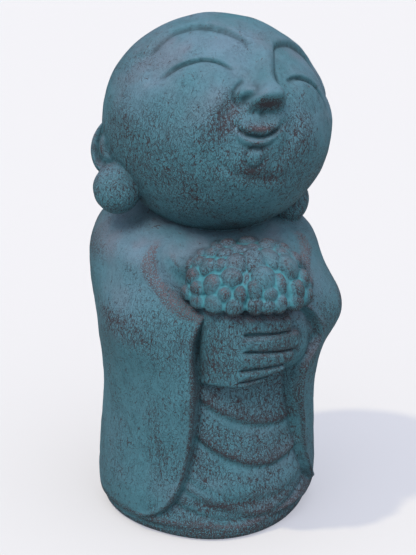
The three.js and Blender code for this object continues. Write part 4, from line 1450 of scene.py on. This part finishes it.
@dataclass
class Statue:
    """The whole casting: its shells united, softened, made uneven and finished."""

    node: str = "jizo_statue"
    finish: Verdigris = field(default_factory=Verdigris)
    seed: int = 11
    join_reach: int = 3
    join_passes: int = 6
    join_marks: tuple[float, float, float] = (0.0, 0.4, 0.0)
    join_patina_and_shade: tuple[float, float, float] = (-0.3, 0.0, 0.35)
    waves: tuple[tuple[float, float], ...] = ((62, 0.32), (41, 0.22), (29, 0.16), (19, 0.1), (12, 0.06))

    def shells(self) -> list[Shell]:
        """Makes every shell of the figure.

        Returns:
            The shells, the robe first.
        """
        head = Head()
        ears = [Ear(head, left) for left in (False, True)]
        made = [Robe().shell(), head.shell(), Bunch().shell(), RightHand().shell(), LeftHand().shell()]
        return made + [shell for ear in ears for shell in (ear.lobe(), ear.plate())]

    def unite(self, shells: list[Shell]) -> bpy.types.Mesh:
        """One closed skin from all the shells.

        Args:
            shells: the closed shells.

        Returns:
            The united mesh, in metres.
        """
        things = [shell.mesh_object() for shell in shells]
        for other in things[1:]:
            cut = things[0].modifiers.new(other.name, "BOOLEAN")
            cut.operation = "UNION"
            cut.solver = "MANIFOLD"
            cut.object = other
        bpy.context.view_layer.update()
        ready = things[0].evaluated_get(bpy.context.evaluated_depsgraph_get())
        mesh = bpy.data.meshes.new_from_object(ready)
        for thing in things:
            spare = thing.data
            bpy.data.objects.remove(thing)
            bpy.data.meshes.remove(spare)
        self.drop_specks(mesh)
        return mesh

    def drop_specks(self, mesh: bpy.types.Mesh) -> None:
        """Takes out scraps that a union can leave: two faces back to back on the same corners.

        Args:
            mesh: the united mesh, changed in place.
        """
        skin = bmesh.new()
        skin.from_mesh(mesh)
        corners = [frozenset(face.verts) for face in skin.faces]
        specks = [group for group, count in Counter(corners).items() if count > 1]
        loose = list(frozenset().union(*specks))
        bmesh.ops.delete(skin, geom=loose, context="VERTS")
        skin.to_mesh(mesh)
        skin.free()
        LOG.info("dropped %d specks", len(specks))

    def carried(self, points: Array, shells: list[Shell]) -> tuple[Array, Array]:
        """Marks of the united points, found again by their unchanged places.

        Args:
            points: the united points in mm.
            shells: the shells they came from.

        Returns:
            Relief, wear and painted shade of each point, and 1 at the new points, which are all on joins.
        """

        def key(where: Array) -> Array:
            """One whole number for each place, to a thousandth of a mm."""
            cell = np.round(where * 1000.0).astype(np.int64) + (1 << 19)
            return (cell[:, 0] << 42) + (cell[:, 1] << 21) + cell[:, 2]

        old = key(np.concatenate([shell.points for shell in shells]).astype(np.float32).astype(float))
        order = np.argsort(old)
        at = order[np.clip(np.searchsorted(old[order], key(points)), 0, len(old) - 1)]
        fresh = old[at] != key(points)
        marks = np.concatenate([shell.marks for shell in shells])[at]
        return np.where(fresh[:, None], np.array(self.join_marks), marks), fresh.astype(float)

    def ripple(self, points: Array) -> Array:
        """Hand-made unevenness: bent waves of several lengths and directions added together.

        Args:
            points: the points in mm.

        Returns:
            The height of the unevenness at each point, mm.
        """
        rng = np.random.default_rng(self.seed)
        total = np.zeros(len(points))
        for length, height in self.waves:
            for _ in range(3):
                way = rng.normal(size=3)
                way /= np.linalg.norm(way)
                bend = rng.normal(size=3) / length
                phase = 2 * np.pi * points @ way / length + np.sin(points @ bend)
                total += height * np.sin(phase + rng.uniform(0, 6.3))
        return total / np.sqrt(3.0)

    def softened(self, ends: Array, points: Array, marks: Array, join: Array) -> tuple[Array, Array]:
        """Eases the skin where shells meet, and paints shade into the creases there, with teal patina.

        Nearness to a join spreads from point to point. Each pass then moves a point towards the
        mean of its neighbours by 0.6 of its nearness.

        Args:
            ends: the two points of every edge.
            points: the united points in mm.
            marks: relief, wear and painted shade of each point.
            join: 1 at the points on a join.

        Returns:
            The eased points and marks.
        """
        count = len(points)
        neighbours = np.maximum(np.bincount(ends.ravel(), minlength=count), 1)

        def around(values: Array) -> Array:
            """Averages each point's neighbours.

            Args:
                values: one value to each point.

            Returns:
                The mean of each point's neighbours.
            """
            total = np.bincount(ends[:, 0], values[ends[:, 1]], count)
            total += np.bincount(ends[:, 1], values[ends[:, 0]], count)
            return total / neighbours

        near = join.copy()
        for _ in range(self.join_reach):
            near = np.maximum(near, around(near))
        near = np.clip(near * 1.6, 0.0, 1.0)[:, None]
        for _ in range(self.join_passes):
            soft = np.stack([around(column) for column in points.T], -1)
            points = points + 0.6 * near * (soft - points)
        # Painted shade in the joins, and teal patina as in the grooves.
        marks = marks + near * np.array(self.join_patina_and_shade)
        for _ in range(2):
            soft = np.stack([around(column) for column in marks.T], -1)
            marks = marks + near * (soft - marks)
        return points, marks

    def dressed(self, mesh: bpy.types.Mesh, marks: Array) -> bpy.types.Object:
        """Gives the mesh its marks and finish, and stands it for the CAD solid.

        Args:
            mesh: the finished mesh.
            marks: relief, wear and painted shade of each point.

        Returns:
            The piece.
        """
        for column, name in enumerate(("relief", "wear", "painted_shade")):
            made = mesh.attributes.new(name, "FLOAT", "POINT")
            made.data.foreach_set("value", marks[:, column].astype(np.float32))
        mesh.shade_smooth()
        mesh.materials.clear()
        mesh.materials.append(self.finish.material())
        piece = bpy.data.objects.new("statue", mesh)
        bpy.context.scene.collection.objects.link(piece)
        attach(piece, "root")
        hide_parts(self.node)
        return piece

    def build(self) -> bpy.types.Object:
        """Builds and dresses the statue.

        Returns:
            The finished piece.
        """
        shells = self.shells()
        mesh = self.unite(shells)
        points = read_floats(mesh.vertices, "co") / MM
        ends = np.empty(len(mesh.edges) * 2, np.int32)
        mesh.edges.foreach_get("vertices", ends)
        marks, join = self.carried(points, shells)
        LOG.info("united skin: %d points, %d on the joins", len(points), int(join.sum()))
        points, marks = self.softened(ends.reshape(-1, 2), points, marks, join)
        mesh.vertices.foreach_set("co", (points * MM).ravel())
        mesh.update()
        lift = self.ripple(points) * smooth_step(0.0, 8.0, points[:, 2])
        points = points + read_floats(mesh.vertex_normals, "vector") * lift[:, None]
        mesh.vertices.foreach_set("co", (points * MM).ravel())
        piece = self.dressed(mesh, marks)
        LOG.info("statue: %d triangles", sum(len(face.vertices) - 2 for face in mesh.polygons))
        return piece


@dataclass
class Studio:
    """Pale floor, soft lights and the camera."""

    camera_place: tuple[float, float, float] = (-0.4168, -1.0326, 0.5976)
    camera_forward: tuple[float, float, float] = (0.35145, 0.86988, -0.34612)
    lens: float = 96.78
    key_from: tuple[float, float, float] = (-0.405, -0.036, 0.914)
    key_power: float = 2.47
    key_angle: float = 2.6
    key_colour: tuple[float, float, float] = (1.0, 0.88, 0.56)
    fill_power: float = 6.5
    fill_angle: float = 60.0
    fill_colour: tuple[float, float, float] = (0.86, 0.878, 1.0)
    box_from: tuple[float, float, float] = (-0.42, -0.45, 0.79)
    box_power: float = 2.6
    box_angle: float = 24.0
    box_colour: tuple[float, float, float] = (1.0, 0.99, 0.96)
    sky_from: tuple[float, float, float] = (-0.05, -0.55, 0.81)
    sky_colour: tuple[float, float, float] = (0.87, 0.895, 1.0)
    sky_low: float = 0.12
    sky_high: float = 2.0
    backdrop: tuple[float, float, float] = (0.92, 0.925, 0.94)
    floor_reach: float = 9.0

    def camera(self) -> None:
        """Camera looking a little down on the figure from its right."""
        data = bpy.data.cameras.new("camera")
        data.lens = self.lens
        data.sensor_width = 36.0
        data.clip_end = 50.0
        thing = bpy.data.objects.new("camera", data)
        turn = Vector(self.camera_forward).to_track_quat("-Z", "Y")
        thing.matrix_world = Matrix.Translation(Vector(self.camera_place)) @ turn.to_matrix().to_4x4()
        bpy.context.scene.collection.objects.link(thing)
        bpy.context.scene.camera = thing

    def sun(
        self, name: str, way: tuple, power: float, angle: float, colour: tuple, lit: bpy.types.Object
    ) -> bpy.types.Light:
        """Light with almost parallel rays that lights one object only.

        Args:
            name: the light's name.
            way: direction that it comes from.
            power: its strength.
            angle: how wide it looks, degrees.
            colour: its colour.
            lit: the object that it lights.

        Returns:
            The light's data.
        """
        data = bpy.data.lights.new(name, "SUN")
        data.energy = power
        data.angle = np.radians(angle)
        data.color = colour
        thing = bpy.data.objects.new(name, data)
        thing.matrix_world = Vector(way).to_track_quat("Z", "Y").to_matrix().to_4x4()
        bpy.context.scene.collection.objects.link(thing)
        group = bpy.data.collections.new(name + "_lights")
        group.objects.link(lit)
        thing.light_linking.receiver_collection = group
        return data

    def suns(self, floor: bpy.types.Object, statue: bpy.types.Object) -> None:
        """Key light that draws the shadow, fill that evens the floor, and a soft box on the statue.

        Args:
            floor: what the key light and the fill light.
            statue: what the soft box lights.
        """
        above = (0.0, 0.0, 1.0)
        self.sun("key_light", self.key_from, self.key_power, self.key_angle, self.key_colour, floor)
        fill = self.sun("floor_fill", above, self.fill_power, self.fill_angle, self.fill_colour, floor)
        fill.use_shadow = False
        self.sun("soft_box", self.box_from, self.box_power, self.box_angle, self.box_colour, statue)

    def sky(self) -> None:
        """Wide soft light, brightest high in front and falling off away from there.

        Its strength rises evenly with the cosine of the angle to the brightest place. The camera
        sees a plain pale backdrop instead.
        """
        world = bpy.data.worlds.new("sky")
        world.use_nodes = True
        tree = world.node_tree
        way = tree.nodes.new("ShaderNodeTexCoord")
        dot = tree.nodes.new("ShaderNodeVectorMath")
        dot.operation = "DOT_PRODUCT"
        dot.inputs[1].default_value = Vector(self.sky_from).normalized()
        tree.links.new(way.outputs["Generated"], dot.inputs[0])
        fall = tree.nodes.new("ShaderNodeMapRange")
        ends = {"From Min": -0.2, "From Max": 1.0, "To Min": self.sky_low, "To Max": self.sky_high}
        for name, value in ends.items():
            fall.inputs[name].default_value = value
        tree.links.new(dot.outputs["Value"], fall.inputs["Value"])
        back = tree.nodes["Background"]
        back.inputs["Color"].default_value = (*self.sky_colour, 1.0)
        tree.links.new(fall.outputs["Result"], back.inputs["Strength"])
        plain = tree.nodes.new("ShaderNodeBackground")
        plain.inputs["Color"].default_value = (*self.backdrop, 1.0)
        seen = tree.nodes.new("ShaderNodeMixShader")
        tree.links.new(tree.nodes.new("ShaderNodeLightPath").outputs["Is Camera Ray"], seen.inputs[0])
        tree.links.new(back.outputs[0], seen.inputs[1])
        tree.links.new(plain.outputs[0], seen.inputs[2])
        tree.links.new(seen.outputs[0], tree.nodes["World Output"].inputs["Surface"])
        bpy.context.scene.world = world
        bpy.context.scene.view_settings.view_transform = "Standard"

    def floor(self) -> bpy.types.Object:
        """Large level floor under the statue.

        Returns:
            The floor.
        """
        mesh = bpy.data.meshes.new("floor")
        reach = self.floor_reach
        corners = [(-reach, -reach, 0), (reach, -reach, 0), (reach, reach, 0), (-reach, reach, 0)]
        mesh.from_pydata(corners, [], [[0, 1, 2, 3]])
        mesh.materials.append(PalePaper().material())
        thing = bpy.data.objects.new("floor", mesh)
        bpy.context.scene.collection.objects.link(thing)
        return thing


def main() -> None:
    """Builds the studio and the statue."""
    logging.basicConfig(level=logging.INFO, format="%(name)s: %(message)s")
    studio = Studio()
    studio.camera()
    studio.sky()
    floor = studio.floor()
    piece = Statue().build()
    studio.suns(floor, piece)
    LOG.info("built %s", piece.name)


if __name__ == "__main__":
    main()
